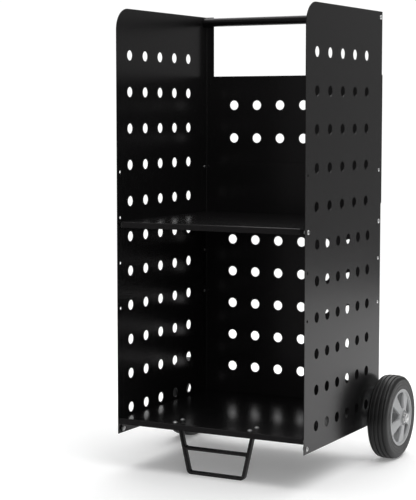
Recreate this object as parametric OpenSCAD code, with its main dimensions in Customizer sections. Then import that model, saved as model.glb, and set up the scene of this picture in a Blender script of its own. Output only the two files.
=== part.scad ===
// Fireside log cart: an open-fronted sheet-steel log rack with a mid shelf,
// perforated sides and back, a tubular handle, a bent front stand and two
// free-running rubber-tyred wheels on a fixed axle.
//
// Frame: +Z up, the floor at Z = 0, the open front towards -Y. The origin is on
// the floor in the middle of the overall width and depth.

/* [Cabinet] */
// Height of the two side panels
panel_h = 980; // [860:10:1100]
// Width over the two side panels
body_w = 475; // [420:5:560]
// Depth of the side panels, front edge to rear face
body_d = 430; // [390:5:500]
// Thickness of all the sheet steel
sheet = 1.5; // [1:0.25:2]
// Radius of the rounded top front corner of the sides
corner_r = 50; // [20:5:80]
// Width of the folded rear return of the sides
return_w = 22; // [20:1:26]

/* [Shelves] */
// Mid shelf load face above the bottom edge of the sides
shelf_up = 494; // [460:2:530]
// Bottom shelf load face above the bottom edge of the sides
floor_up = 37; // [35:1:42]
// Depth of the folded front and rear lips
lip_h = 13.5; // [11:0.5:16]

/* [Perforation] */
// Diameter of the large holes
hole_d = 23.5; // [14:0.5:28]
// Diameter of the small spare holes along the edges
small_d = 7; // [5:0.5:8]
// Columns in the lower rows of the right side panel
right_cols = 6; // [4:1:6]
// Columns in every other row of the side panels
side_cols = 5; // [3:1:5]
// Columns of holes across the back
back_cols = 6; // [3:1:6]

/* [Wheels] */
// Outer diameter of the tyres
wheel_d = 200; // [180:5:220]
// Width of the tyres
wheel_w = 50; // [44:2:60]
// Diameter of the fixed axle
axle_d = 12; // [10:1:12]
// Axle centre above the bottom edge of the sides
axle_up = 17; // [16:0.5:19]
// Axle centre in front of the rear face of the sides
axle_in = 17; // [17:0.5:24]
// Clear gap between a side panel and its tyre
wheel_gap = 14; // [13.5:0.5:20]
// Spokes in each rim
spokes = 5; // [4:1:6]

/* [Handle] */
// Outer diameter of the handle tube
handle_d = 21; // [18:1:24]
// Handle centre below the top edge of the sides
handle_down = 13.5; // [13:0.5:30]

/* [Front stand] */
// Thickness of the square bar
bar = 7; // [6:0.5:9]
// Distance between the leg centres at the floor end
stand_foot_w = 139; // [120:1:160]
// Distance between the leg centres under the shelf
stand_top_w = 191; // [170:1:210]
// Front face of the stand behind the front edge of the sides
stand_back = 33.5; // [30:0.5:60]

/* [Hidden] */
$fn = 64;
cut = 1;                                  // overrun of every cutting body

// Main places
panel_z = wheel_d / 2 - axle_up;          // bottom edge of the sides above the floor
axle_z = wheel_d / 2;
axle_from_front = body_d - axle_in;
depth_all = axle_from_front + wheel_d / 2;
front_y = -depth_all / 2;                 // front edge of the side panels
rear_y = front_y + body_d;                // rear face of the side panels
axle_y = front_y + axle_from_front;
shelf_z = panel_z + shelf_up;
floor_z = panel_z + floor_up;
inner_w = body_w - 2 * sheet;             // clear width between the sides

// Sheet bends
bend_in = 1.5;
bend_out = bend_in + sheet;
relief = 12;                              // cut-back of a lip at each end
notch_r = 3;

// Lower back, a pan inside the side returns; heights are above the bottom edge
back_gap = 3.5;                           // in front of the side returns
back_y = rear_y - sheet - back_gap;       // its rear face
back_side_w = 21;                         // folded side flanges
back_low_up = floor_up + 0.5;             // flanges clear the bottom shelf
back_skirt_in = relief + 2;               // skirt over that shelf's rear lip, in from its ends
back_skirt_lap = 5;                       // and up into the panel
back_over = 126;                          // its top edge over the mid shelf
back_top_up = shelf_up + back_over;
shelf_slot_over = 3;                      // flange cut away over and under the mid shelf
shelf_slot_under = 2;
back_hole_in = 78.75;                     // outermost holes in from the sides
back_first_x = body_w / 2 - back_hole_in;
back_hole_under = 68;                     // top row of holes under the mid shelf
back_last_up = shelf_up - back_hole_under;
back_pitch = 80.4;
back_rows = 1 + floor(back_last_up / back_pitch);

// Upper back, a flat sheet behind the side returns
upper_over = 32;                          // its low edge over the mid shelf
upper_low_up = shelf_up + upper_over;
handle_window_h = 147;                    // open under the top edge of the sides
upper_top_up = panel_h - handle_window_h;
upper_hole_in = 72;                       // first and last rows in from its edges
upper_rows = 3;
upper_rivet_in = 19;                      // end rivets from its low and top edges

// Side perforation: rows above the bottom edge, columns behind the front edge
up_rows = 5;
row_over = 44;                            // first row over the mid shelf
row_top = 106;                            // last row under the top edge
row_under = 38;                           // last lower row under the mid shelf
up_first = shelf_up + row_over;
up_last = panel_h - row_top;
low_rows = 6;
low_first = 54;
low_last = shelf_up - row_under;
col_first = 58;
col_rear = 95;                            // last column in front of the rear face
col_last = body_d - col_rear;
right_first = 62.7;
right_rear = 82;
right_last = body_d - right_rear;
edge_y = 13;                              // small holes behind the front edge
edge_pitch = 105;
edge_over = 8;                            // the one nearest the mid shelf, over it
edge_zero_up = shelf_up + edge_over;

// Shelf flanges and their bolts
mid_side_h = 24;
mid_bolt_down = 8.7;                      // under the load face
floor_side_gap = 2.5;                     // flange above the bottom edge of the sides
floor_side_h = floor_up - floor_side_gap;
floor_bolt_up = 11;
bolt_front = 15.3;                        // behind the front edge
bolt_rear_in = 15;                        // in front of the rear face
bolt_rear = body_d - bolt_rear_in;
back_rivet_in = 16;
back_rivet_y = body_d - back_rivet_in;

// M6 fasteners and rivets
m6 = 6;
m6_head_d = 11;
m6_head_h = 3.3;
m6_nut_af = 10;
m6_nut_h = 5;
m6_key = 4;                               // hexagon socket, across flats
screw_end = 1.5;                          // thread standing out of a nut
rivet_d = 4.8;
rivet_head_d = 9;
rivet_head_h = 1.6;
rivet_tail_w = 1.6;                       // set tail wider than the body
rivet_tail_h = 2.2;

// Stand
plate_t = 3;
plate_w = 26;
plate_l = 52;
stand_bolt_gap = 35;
stand_y = front_y + stand_back + bar / 2;
stand_top_z = floor_z - sheet - plate_t;
leg_run = (stand_top_w - stand_foot_w) / 2;
leg_rise = stand_top_z - bar / 2;
leg_tilt = atan(leg_run / leg_rise);      // lean of each leg off the vertical
bow_in = 4;                               // inner radius of the two floor bends
bend_swell = 0.002;                       // bends proud of the flats, so they cross cleanly
cross_down = 23.7;                        // cross bar below the bottom edge of the sides
cross_z = panel_z - cross_down;

// Handle
handle_gap = 0.5;                         // tube in front of the side returns
handle_y = rear_y - sheet - handle_gap - handle_d / 2;
handle_z = panel_z + panel_h - handle_down;
handle_wall = 1.5;
plug_l = 22;
plug_floor = 4;                           // solid end of a plug past its thread

// Axle stack, outwards from the side panel
lock_nut_h = 8;
washer_t = 2.5;
washer_d = 24;
m12_af = 19;
nut_chamfer = 1.11;                       // faces of a nut are round to this, over its flats
inner_nut_h = 10;
side_play = 0.3;                          // end play on each face of a hub
hub_proud = 7;                            // hub beyond the outer tyre face
wheel_x = body_w / 2 + wheel_gap + wheel_w / 2;
hub_in = wheel_gap + wheel_w / 2 - lock_nut_h - washer_t - side_play;
hub_out = wheel_w / 2 + hub_proud;
cap_x = wheel_x + hub_out + side_play + washer_t;
cap_hex_h = 5;
cap_h = 9;
cap_thread = 5.5;                         // axle inside the domed nut
cap_dome_in = 0.4;                        // dome inside the hexagon's flats
cap_chamfer = 1.24;                       // ball that cuts its corners, over the flats
axle_end = cap_x + cap_thread;
axle_chamfer = 0.7;

// Wheel, all radii from the axle
run_fit = 0.05;                           // radial clearance of bush on axle
bush_r = axle_d / 2 + 2;
barrel_r = bush_r + 3;
hub_r = 20.5;
hub_wall = 3;                             // raised ring round the hub face
hub_recess = 1.5;                         // spoke roots behind the hub face
hub_chamfer = 1.2;                        // side of the square cut off the face edge
hub_groove_r = 13.8;                      // annular groove round the washer
hub_groove_w = 3.8;
hub_groove_deep = 3;
tyre_r = wheel_d / 2;
rim_r = 0.66 * tyre_r;
drum_r = rim_r - 3.5;
lip_r = rim_r + 1.6;
lip_t = 1.8;
dish_t = 6;
dish_sink = 1.5;                          // spoke tips behind the rim's outer edge
dish_u = wheel_w / 2 - dish_sink;
hub_face_t = 9;
spoke_lead = 58;                          // first spoke above the rearward level, degrees
spoke_root = 17;                          // width of a spoke at the hub
spoke_tip = 30;                           // and at the rim
window_in = hub_r + 1.3;
round_in = 2.5;                           // corners of the openings, at the hub
round_out = 4;                            // and at the rim
window_out = drum_r - 3;
groove_w = 2.8;
groove_deep = 2.4;
groove_pitch = 10.3;
shoulder_r = 12;
bead_u = wheel_w / 2 - 1;
bead_t = 4;                               // tyre under the level of the rim's lips

steel_black = [0.13, 0.13, 0.14];
zinc = [0.78, 0.78, 0.76];
rubber = [0.11, 0.11, 0.11];
rim_grey = [0.68, 0.69, 0.70];

// ---------- helpers ----------

// Mirrored pair about the middle plane
module both_sides() {
    for (s = [0, 1]) mirror([s, 0, 0]) children();
}

// Local +Z laid along world +X, local +X along world +Y
module along_x() {
    rotate([90, 0, 90]) children();
}

// Quarter of a bend, its centre at the origin, filling +x +y
module bend_2d() {
    intersection() {
        difference() {
            circle(r = bend_out);
            circle(r = bend_in);
        }
        square(bend_out + cut);
    }
}

// Folded angle: leg a along +x, leg b along +y, its outer corner at the origin
module angle_2d(a, b) {
    translate([bend_out, 0]) square([a - bend_out, sheet]);
    translate([0, bend_out]) square([sheet, b - bend_out]);
    translate([bend_out, bend_out]) rotate(180) bend_2d();
}

// Channel seen from its end: web of width w at the top, two lips hanging down
module channel_2d(w, lip) {
    for (s = [0, 1]) mirror([s, 0])
        translate([-w / 2, 0]) mirror([0, 1]) angle_2d(w / 2, lip);
}

// Shelf pressing: load face at z = 0, front edge at y = 0, four lips hanging down
module tray(w, d, lip, side_lip) {
    for (x = [-w / 2, w / 2 - relief], y = [0, d - relief])
        translate([x, y, -sheet]) cube([relief, relief, sheet]);
    translate([0, d, 0]) rotate([90, 0, 0])
        translate([0, 0, relief]) linear_extrude(d - 2 * relief) channel_2d(w, side_lip);
    difference() {
        translate([-w / 2 + relief, d / 2, 0]) along_x()
            linear_extrude(w - 2 * relief) channel_2d(d, lip);
        for (s = [-1, 1], y = [0, d])
            translate([s * (w / 2 - relief), y, -lip]) notch_corner(s);
    }
}

// Rounds the lower end corner of a lip
module notch_corner(s) {
    rotate([90, 0, 0]) translate([0, 0, -bend_out - cut]) linear_extrude(2 * (bend_out + cut))
        difference() {
            translate([s * (cut - notch_r) / 2, (notch_r - cut) / 2])
                square(notch_r + cut, center = true);
            translate([-s * notch_r, notch_r]) circle(r = notch_r);
        }
}

// Button head cap screw: shank up local +Z from 0, head below
module button_screw(len, d = m6, head_d = m6_head_d, head_h = m6_head_h) {
    dome_r = (pow(head_d / 2, 2) + pow(head_h, 2)) / (2 * head_h);
    difference() {
        union() {
            cylinder(d = d, h = len);
            intersection() {
                translate([0, 0, dome_r - head_h]) sphere(r = dome_r);
                translate([0, 0, -head_h]) cylinder(d = head_d, h = head_h);
            }
        }
        translate([0, 0, -head_h - cut]) cylinder(d = m6_key / cos(30), h = cut + 2, $fn = 6);
    }
}

// Hex nut or sleeve standing on z = 0
module hex_nut(af, h, d) {
    difference() {
        intersection() {
            cylinder(d = af / cos(30), h = h, $fn = 6);
            translate([0, 0, h / 2]) sphere(r = norm([nut_chamfer * af / 2, h / 2]));
        }
        translate([0, 0, -cut]) cylinder(d = d, h = h + 2 * cut);
    }
}

// Set blind rivet: head below z = 0, body and tail above
module rivet(grip) {
    dome_r = (pow(rivet_head_d / 2, 2) + pow(rivet_head_h, 2)) / (2 * rivet_head_h);
    cylinder(d = rivet_d, h = grip);
    translate([0, 0, grip])
        cylinder(d1 = rivet_d + rivet_tail_w, d2 = rivet_d, h = rivet_tail_h);
    intersection() {
        translate([0, 0, dome_r - rivet_head_h]) sphere(r = dome_r);
        translate([0, 0, -rivet_head_h]) cylinder(d = rivet_head_d, h = rivet_head_h);
    }
}

// ---------- side panels ----------

// Evenly spaced places between a first and a last column and row
function grid(y0, y1, cols, z0, z1, rows) = [
    for (i = [0 : cols - 1], j = [0 : rows - 1])
        [y0 + i * (y1 - y0) / (cols - 1), z0 + j * (z1 - z0) / (rows - 1)]
];

// Small spare holes behind the front edge, as steps of edge_pitch
function edge_holes(steps) = [for (k = steps) [edge_y, edge_zero_up + k * edge_pitch]];

back_rivet_steps = [-2, -1, 1];
function back_rivets() = [
    for (k = back_rivet_steps) [back_rivet_y, edge_zero_up + k * edge_pitch]
];
mid_bolts = [for (y = [bolt_front, bolt_rear]) [y, shelf_up - mid_bolt_down]];

// Outline seen from the side, y from the front edge, z from the bottom edge
module side_outline() {
    square([body_d, panel_h - corner_r]);
    translate([corner_r, 0]) square([body_d - corner_r, panel_h]);
    translate([corner_r, panel_h - corner_r]) circle(r = corner_r, $fn = 128);
}

// Right-hand panel in its own place
module side_panel(big, small) {
    translate([0, front_y, panel_z]) difference() {
        intersection() {
            linear_extrude(panel_h)
                translate([body_w / 2, body_d]) rotate(180) angle_2d(return_w, body_d);
            translate([body_w / 2 - return_w - cut, 0, 0]) along_x()
                linear_extrude(return_w + 2 * cut) side_outline();
        }
        side_bores(big, hole_d);
        side_bores(small, small_d);
        side_bores(concat(mid_bolts, [[bolt_front, floor_bolt_up]]), m6);
        side_bores([[handle_y - front_y, handle_z - panel_z]], m6);
        side_bores(back_rivets(), rivet_d);
        side_bores([[axle_from_front, axle_up]], axle_d);
        for (z = upper_rivets_up())
            translate([body_w / 2 - return_w / 2, body_d - sheet - cut, z])
                rotate([-90, 0, 0]) cylinder(d = rivet_d, h = sheet + 2 * cut);
    }
}

module side_bores(places, d) {
    for (p = places) translate([body_w / 2 - sheet - cut, p[0], p[1]])
        along_x() cylinder(d = d, h = sheet + 2 * cut);
}

function upper_holes() = grid(col_first, col_last, side_cols, up_first, up_last, up_rows);

module side_panel_right() {
    color(steel_black) side_panel(
        concat(upper_holes(), grid(right_first, right_last, right_cols,
            low_first, low_last, low_rows)),
        edge_holes([-2, -1, 1]));
}

module side_panel_left() {
    color(steel_black) mirror([1, 0, 0]) side_panel(
        concat(upper_holes(), grid(col_first, col_last, side_cols,
            low_first, low_last, low_rows)),
        edge_holes([-2, -1, 0, 1]));
}

// ---------- back panels ----------

function upper_rivets_up() = [
    upper_low_up + upper_rivet_in, (upper_low_up + upper_top_up) / 2,
    upper_top_up - upper_rivet_in
];

module back_bores(places, y, t, d) {
    for (p = places) translate([p[0], y - t - cut, panel_z + p[1]])
        rotate([-90, 0, 0]) cylinder(d = d, h = t + 2 * cut);
}

// Pan with two side flanges folded forward, cut away where the mid shelf passes, and a skirt
// that covers the bottom shelf's rear lip
module lower_back_panel() {
    color(steel_black) difference() {
        union() {
            translate([0, back_y, panel_z + back_low_up])
                linear_extrude(back_top_up - back_low_up) channel_2d(inner_w, back_side_w);
            translate([back_skirt_in - inner_w / 2, back_y - sheet, floor_z - lip_h])
                cube([inner_w - 2 * back_skirt_in, sheet,
                    lip_h + back_low_up - floor_up + back_skirt_lap]);
        }
        back_bores(grid(-back_first_x, back_first_x, back_cols,
            back_last_up - (back_rows - 1) * back_pitch, back_last_up, back_rows),
            back_y, sheet, hole_d);
        translate([-body_w / 2, back_y - back_side_w - cut,
                shelf_z - mid_side_h - shelf_slot_under])
            cube([body_w, back_side_w - bend_out + cut,
                mid_side_h + shelf_slot_under + shelf_slot_over]);
        both_sides() for (p = back_rivets())
            translate([inner_w / 2 - sheet - cut, front_y + p[0], panel_z + p[1]])
                along_x() cylinder(d = rivet_d, h = sheet + 2 * cut);
    }
}

// Flat sheet riveted on behind the side returns
module upper_back_panel() {
    y = rear_y + sheet;
    color(steel_black) difference() {
        translate([-body_w / 2, rear_y, panel_z + upper_low_up])
            cube([body_w, sheet, upper_top_up - upper_low_up]);
        back_bores(grid(-back_first_x, back_first_x, back_cols,
            upper_low_up + upper_hole_in, upper_top_up - upper_hole_in, upper_rows),
            y, sheet, hole_d);
        back_bores([for (s = [-1, 1], z = upper_rivets_up())
            [s * (body_w - return_w) / 2, z]], y, sheet, rivet_d);
    }
}

module upper_back_rivets() {
    color(steel_black) for (s = [-1, 1], z = upper_rivets_up())
        translate([s * (body_w - return_w) / 2, rear_y + sheet, panel_z + z])
            rotate([90, 0, 0]) rivet(2 * sheet);
}

module lower_back_rivets() {
    color(zinc) both_sides() for (p = back_rivets())
        translate([body_w / 2, front_y + p[0], panel_z + p[1]])
            rotate([0, -90, 0]) rivet(2 * sheet);
}

// ---------- shelves ----------

shelf_d = back_y - sheet - front_y;       // front edge to the lower back

module shelf_bores(places, z_low) {
    both_sides() for (p = places)
        translate([inner_w / 2 - sheet - cut, front_y + p[0], z_low + p[1]])
            along_x() cylinder(d = p[2], h = sheet + 2 * cut);
}

module mid_shelf() {
    color(steel_black) difference() {
        translate([0, front_y, shelf_z]) tray(inner_w, shelf_d, lip_h, mid_side_h);
        shelf_bores([for (p = mid_bolts) [p[0], p[1], m6]], panel_z);
    }
}

module bottom_shelf() {
    color(steel_black) difference() {
        translate([0, front_y, floor_z]) tray(inner_w, shelf_d, lip_h, floor_side_h);
        shelf_bores([[bolt_front, floor_bolt_up, m6], [axle_from_front, axle_up, axle_d]],
            panel_z);
        for (p = stand_bolt_places()) translate([p[0], p[1], floor_z - sheet - cut])
            cylinder(d = m6, h = sheet + 2 * cut);
    }
}

module side_screws(places) {
    both_sides() for (p = places) translate([body_w / 2, front_y + p[0], panel_z + p[1]])
        rotate([0, -90, 0]) button_screw(2 * sheet + m6_nut_h + screw_end);
}

module side_nuts(places) {
    both_sides() for (p = places)
        translate([inner_w / 2 - sheet, front_y + p[0], panel_z + p[1]])
            rotate([0, -90, 0]) hex_nut(m6_nut_af, m6_nut_h, m6);
}

module mid_shelf_bolts() {
    color(zinc) side_screws(mid_bolts);
}

module mid_shelf_nuts() {
    color(zinc) side_nuts(mid_bolts);
}

module bottom_shelf_bolts() {
    color(zinc) side_screws([[bolt_front, floor_bolt_up]]);
}

module bottom_shelf_nuts() {
    color(zinc) side_nuts([[bolt_front, floor_bolt_up]]);
}

// ---------- handle ----------

module handle_tube() {
    color(steel_black) translate([-inner_w / 2, handle_y, handle_z]) along_x() difference() {
        cylinder(d = handle_d, h = inner_w);
        translate([0, 0, -cut]) cylinder(d = handle_d - 2 * handle_wall, h = inner_w + 2 * cut);
    }
}

module handle_end_plugs() {
    color(zinc) both_sides() translate([inner_w / 2, handle_y, handle_z])
        rotate([0, -90, 0]) difference() {
            cylinder(d = handle_d - 2 * handle_wall, h = plug_l);
            translate([0, 0, -cut]) cylinder(d = m6, h = plug_l - plug_floor + cut);
        }
}

module handle_screws() {
    color(zinc) both_sides() translate([body_w / 2, handle_y, handle_z])
        rotate([0, -90, 0]) button_screw(sheet + plug_l - plug_floor - cut);
}

// ---------- front stand ----------

function stand_bolt_places() = [
    for (s = [-1, 1], k = [-0.5, 0.5]) [s * stand_top_w / 2, stand_y + k * stand_bolt_gap]
];

// Trapezoid between the outer or the inner faces of the bow, its floor corners
// rounded to radius r about the two bend centres
module bow_region(r) {
    mid = bow_in + bar / 2;               // bend radius of the bar's centre line
    turn = 90 - leg_tilt;                 // angle the bar is bent through
    centre = [stand_foot_w / 2 - mid * tan(turn / 2), bar / 2 + mid];
    flat = r - bend_swell;
    touch = centre + flat * [cos(leg_tilt), -sin(leg_tilt)];
    top = touch + 2 * leg_rise * [tan(leg_tilt), 1];
    low = centre[1] - flat;
    for (s = [0, 1]) mirror([s, 0]) {
        translate(centre) circle(r = r);
        polygon([[0, low], [centre[0], low], touch, top, [0, top[1]]]);
    }
}

module stand_bow() {
    color(steel_black) translate([0, stand_y + bar / 2, 0]) rotate([90, 0, 0]) linear_extrude(bar)
        difference() {
            bow_region(bow_in + bar);
            bow_region(bow_in);
            translate([-stand_top_w, stand_top_z]) square([2 * stand_top_w, 3 * leg_rise]);
        }
}

// Distance from the middle to a leg's inner face at height z
function leg_inner(z) = stand_foot_w / 2 + (z - bar / 2) * tan(leg_tilt) - bar / 2 / cos(leg_tilt);

module stand_crossbar() {
    low = cross_z - bar / 2;
    high = cross_z + bar / 2;
    color(steel_black) translate([0, stand_y + bar / 2, 0]) rotate([90, 0, 0]) linear_extrude(bar)
        polygon([[-leg_inner(low), low], [leg_inner(low), low],
            [leg_inner(high), high], [-leg_inner(high), high]]);
}

module stand_plates() {
    color(steel_black) difference() {
        for (s = [-1, 1]) translate([s * stand_top_w / 2, stand_y, stand_top_z + plate_t / 2])
            cube([plate_w, plate_l, plate_t], center = true);
        for (p = stand_bolt_places()) translate([p[0], p[1], stand_top_z - cut])
            cylinder(d = m6, h = plate_t + 2 * cut);
    }
}

module stand_bolts() {
    color(zinc) for (p = stand_bolt_places()) translate([p[0], p[1], floor_z])
        mirror([0, 0, 1]) button_screw(sheet + plate_t + m6_nut_h + screw_end);
}

module stand_nuts() {
    color(zinc) for (p = stand_bolt_places())
        translate([p[0], p[1], stand_top_z - m6_nut_h]) hex_nut(m6_nut_af, m6_nut_h, m6);
}

// ---------- axle and wheels ----------

// Puts a piece turned about local +Z, outwards, at distance x on the right axle line
module on_axle(x) {
    translate([x, axle_y, axle_z]) rotate([0, 90, 0]) children();
}

module axle_rod() {
    color(zinc) translate([-axle_end, axle_y, axle_z]) along_x() difference() {
        cylinder(d = axle_d, h = 2 * axle_end);
        for (z = [0, 2 * axle_end]) translate([0, 0, z]) rotate_extrude()
            translate([axle_d / 2, 0]) rotate(45)
                square(axle_chamfer * sqrt(2), center = true);
    }
}

module axle_inner_nuts() {
    color(zinc) both_sides() on_axle(inner_w / 2 - sheet - inner_nut_h)
        hex_nut(m12_af, inner_nut_h, axle_d);
}

module axle_lock_nuts() {
    color(zinc) both_sides() on_axle(body_w / 2) hex_nut(m12_af, lock_nut_h, axle_d);
}

module washer() {
    difference() {
        cylinder(d = washer_d, h = washer_t);
        translate([0, 0, -cut]) cylinder(d = axle_d, h = washer_t + 2 * cut);
    }
}

module axle_washers() {
    color(zinc) both_sides() {
        on_axle(body_w / 2 + lock_nut_h) washer();
        on_axle(cap_x - washer_t) washer();
    }
}

module axle_cap_nuts() {
    dome_r = m12_af / 2 - cap_dome_in;
    color(zinc) both_sides() on_axle(cap_x) difference() {
        union() {
            intersection() {
                cylinder(d = m12_af / cos(30), h = cap_hex_h, $fn = 6);
                sphere(r = cap_chamfer * m12_af / 2);
            }
            intersection() {
                translate([0, 0, cap_h - dome_r]) sphere(r = dome_r);
                cylinder(r = dome_r, h = cap_h);
            }
        }
        translate([0, 0, -cut]) cylinder(d = axle_d, h = axle_end - cap_x + cut);
    }
}

// Half section of the rim: x is the radius, y the distance outwards from mid tyre
module rim_section() {
    edge_u = wheel_w / 2;
    difference() {
        union() {
            translate([drum_r, -bead_u]) square([rim_r - drum_r, bead_u + edge_u]);
            translate([drum_r, bead_u]) square([lip_r - drum_r, lip_t]);
            translate([drum_r, -bead_u - lip_t]) square([lip_r - drum_r, lip_t]);
            polygon([[hub_r - hub_wall, hub_out - hub_face_t], [drum_r + cut, dish_u - dish_t],
                [drum_r + cut, dish_u], [hub_r, hub_out - hub_recess],
                [hub_r - hub_wall, hub_out - hub_recess]]);
            translate([bush_r, hub_out - hub_face_t]) square([hub_r - bush_r, hub_face_t]);
            translate([bush_r, -hub_in]) square([barrel_r - bush_r, hub_in + hub_out - cut]);
        }
        translate([hub_groove_r, hub_out - hub_groove_deep])
            square([hub_groove_w, hub_groove_deep + cut]);
        translate([hub_r, hub_out]) rotate(45) square(hub_chamfer, center = true);
    }
}

// Openings between the spokes, which flare from the hub to the rim, with rounded corners
module windows_2d() {
    flare = (spoke_tip - spoke_root) / 2 / (window_out - window_in);
    axis = spoke_root / 2 - flare * window_in;
    reach = 2 * window_out;
    difference() {
        circle(r = window_out, $fn = 128);
        circle(r = window_in);
        for (k = [0 : spokes - 1]) rotate(k * 360 / spokes) {
            polygon([[0, -axis], [reach, -axis - flare * reach],
                [reach, axis + flare * reach], [0, axis]]);
            for (s = [0, 1]) mirror([0, s]) {
                window_corner(atan(flare), axis, window_out, 1, round_out);
                window_corner(atan(flare), axis, window_in, -1, round_in);
            }
        }
    }
}

// What a round of radius f leaves in the corner of a spoke's side, which starts at height axis
// and rises at a slope, and the circle r; out is 1 inside that circle and -1 outside it
module window_corner(slope, axis, r, out, f) {
    along = [cos(slope), sin(slope)];
    up = [-sin(slope), cos(slope)];
    foot = axis * cos(slope);
    mid = up * (foot + f) + along * sqrt(pow(r - out * f, 2) - pow(foot + f, 2));
    tip = up * foot + along * sqrt(pow(r, 2) - pow(foot, 2));
    difference() {
        polygon([mid, mid - up * (f + 1), tip * (r + out) / r - up,
            mid * (r + out) / norm(mid)]);
        translate(mid) circle(r = f + bend_swell);
    }
}

module rim() {
    color(rim_grey) on_axle(wheel_x) difference() {
        rotate_extrude($fn = 128) rim_section();
        rotate(90 + spoke_lead) translate([0, 0, -wheel_w])
            linear_extrude(2 * wheel_w) windows_2d();
    }
}

module tyre() {
    half = wheel_w / 2;
    color(rubber) on_axle(wheel_x) rotate_extrude($fn = 128) difference() {
        union() {
            translate([rim_r, -bead_u]) square([bead_t, 2 * bead_u]);
            translate([lip_r, -half]) square([tyre_r - lip_r - shoulder_r, wheel_w]);
            translate([lip_r, -half + shoulder_r])
                square([tyre_r - lip_r, wheel_w - 2 * shoulder_r]);
            for (s = [-1, 1]) translate([tyre_r - shoulder_r, s * (half - shoulder_r)])
                circle(r = shoulder_r);
        }
        for (k = [-1.5 : 1 : 1.5]) translate([tyre_r - groove_deep, k * groove_pitch - groove_w / 2])
            square([groove_deep + cut, groove_w]);
    }
}

module hub_bush() {
    color("ivory") on_axle(wheel_x - hub_in) difference() {
        cylinder(r = bush_r, h = hub_in + hub_out);
        translate([0, 0, -cut]) cylinder(r = axle_d / 2 + run_fit, h = hub_in + hub_out + 2 * cut);
    }
}

module rim_right() { rim(); }
module rim_left() { mirror([1, 0, 0]) rim(); }
module tyre_right() { tyre(); }
module tyre_left() { mirror([1, 0, 0]) tyre(); }
module hub_bush_right() { hub_bush(); }
module hub_bush_left() { mirror([1, 0, 0]) hub_bush(); }

side_panel_left();
side_panel_right();
upper_back_panel();
lower_back_panel();
mid_shelf();
bottom_shelf();
mid_shelf_bolts();
mid_shelf_nuts();
bottom_shelf_bolts();
bottom_shelf_nuts();
upper_back_rivets();
lower_back_rivets();
handle_tube();
handle_end_plugs();
handle_screws();
stand_bow();
stand_crossbar();
stand_plates();
stand_bolts();
stand_nuts();
axle_rod();
axle_inner_nuts();
axle_lock_nuts();
axle_washers();
axle_cap_nuts();
rim_left();
rim_right();
tyre_left();
tyre_right();
hub_bush_left();
hub_bush_right();
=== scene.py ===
"""Dresses the fireside log cart.

Folded and perforated sheet panels, pressed shelves, a bent bar stand, turned and moulded wheels,
fasteners, their finishes, and the stage they are shown on. Every size is in metres.
"""

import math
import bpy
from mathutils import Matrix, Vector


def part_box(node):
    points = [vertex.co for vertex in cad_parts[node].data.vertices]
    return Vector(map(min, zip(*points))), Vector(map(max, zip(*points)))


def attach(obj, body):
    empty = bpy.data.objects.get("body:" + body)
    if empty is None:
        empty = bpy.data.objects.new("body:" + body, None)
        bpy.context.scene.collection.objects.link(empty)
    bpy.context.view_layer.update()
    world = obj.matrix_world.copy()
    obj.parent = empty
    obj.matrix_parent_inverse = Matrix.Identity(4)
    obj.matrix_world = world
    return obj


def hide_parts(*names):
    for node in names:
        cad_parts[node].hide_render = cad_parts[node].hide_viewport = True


bl_info = {
    "name": "Fireside log cart",
    "version": (1, 0, 0),
    "blender": (4, 5, 0),
    "location": "3D View > Sidebar > Log Cart",
    "description": "Makes the panels, shelves, stand, wheels, fasteners and finishes of a log cart",
    "category": "Object",
}

import bmesh
import bpy
from bpy.props import FloatProperty, FloatVectorProperty, IntProperty, PointerProperty
from mathutils import Matrix, Vector

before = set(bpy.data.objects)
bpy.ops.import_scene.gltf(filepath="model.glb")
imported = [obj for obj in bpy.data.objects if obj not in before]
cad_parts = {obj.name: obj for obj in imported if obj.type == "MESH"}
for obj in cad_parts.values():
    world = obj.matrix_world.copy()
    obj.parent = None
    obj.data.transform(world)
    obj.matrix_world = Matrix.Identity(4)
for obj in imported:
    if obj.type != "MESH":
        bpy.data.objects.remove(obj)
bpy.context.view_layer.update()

SIDE_LOW, SIDE_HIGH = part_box("side_panel_right")
OUTER_X = SIDE_HIGH.x             # outer face of the right side
FRONT, REAR = SIDE_LOW.y, SIDE_HIGH.y
FOOT, TOP = SIDE_LOW.z, SIDE_HIGH.z
MID_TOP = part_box("mid_shelf")[1].z
FLOOR_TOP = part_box("bottom_shelf")[1].z
BACK_LOW, BACK_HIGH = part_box("lower_back_panel")
UPPER_LOW, UPPER_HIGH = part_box("upper_back_panel")
HANDLE_LOW, HANDLE_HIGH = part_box("handle_tube")
HANDLE = (HANDLE_LOW + HANDLE_HIGH) / 2
AXLE_LOW, AXLE_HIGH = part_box("axle_rod")
AXLE = (AXLE_LOW + AXLE_HIGH) / 2
AXLE_WIDE = AXLE_HIGH.z - AXLE_LOW.z
TYRE_LOW, TYRE_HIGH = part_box("tyre_right")
WHEEL_X = (TYRE_LOW.x + TYRE_HIGH.x) / 2
TYRE_R = (TYRE_HIGH.z - TYRE_LOW.z) / 2
TYRE_HALF = (TYRE_HIGH.x - TYRE_LOW.x) / 2
HUB_LOW, HUB_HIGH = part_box("hub_bush_right")
BUSH_R = (HUB_HIGH.z - HUB_LOW.z) / 2
BOW_LOW, BOW_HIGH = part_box("stand_bow")
BAR = BOW_HIGH.y - BOW_LOW.y
STAND_Y = (BOW_LOW.y + BOW_HIGH.y) / 2
PLATES_LOW, PLATES_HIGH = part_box("stand_plates")
TAU = 2 * math.pi

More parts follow.
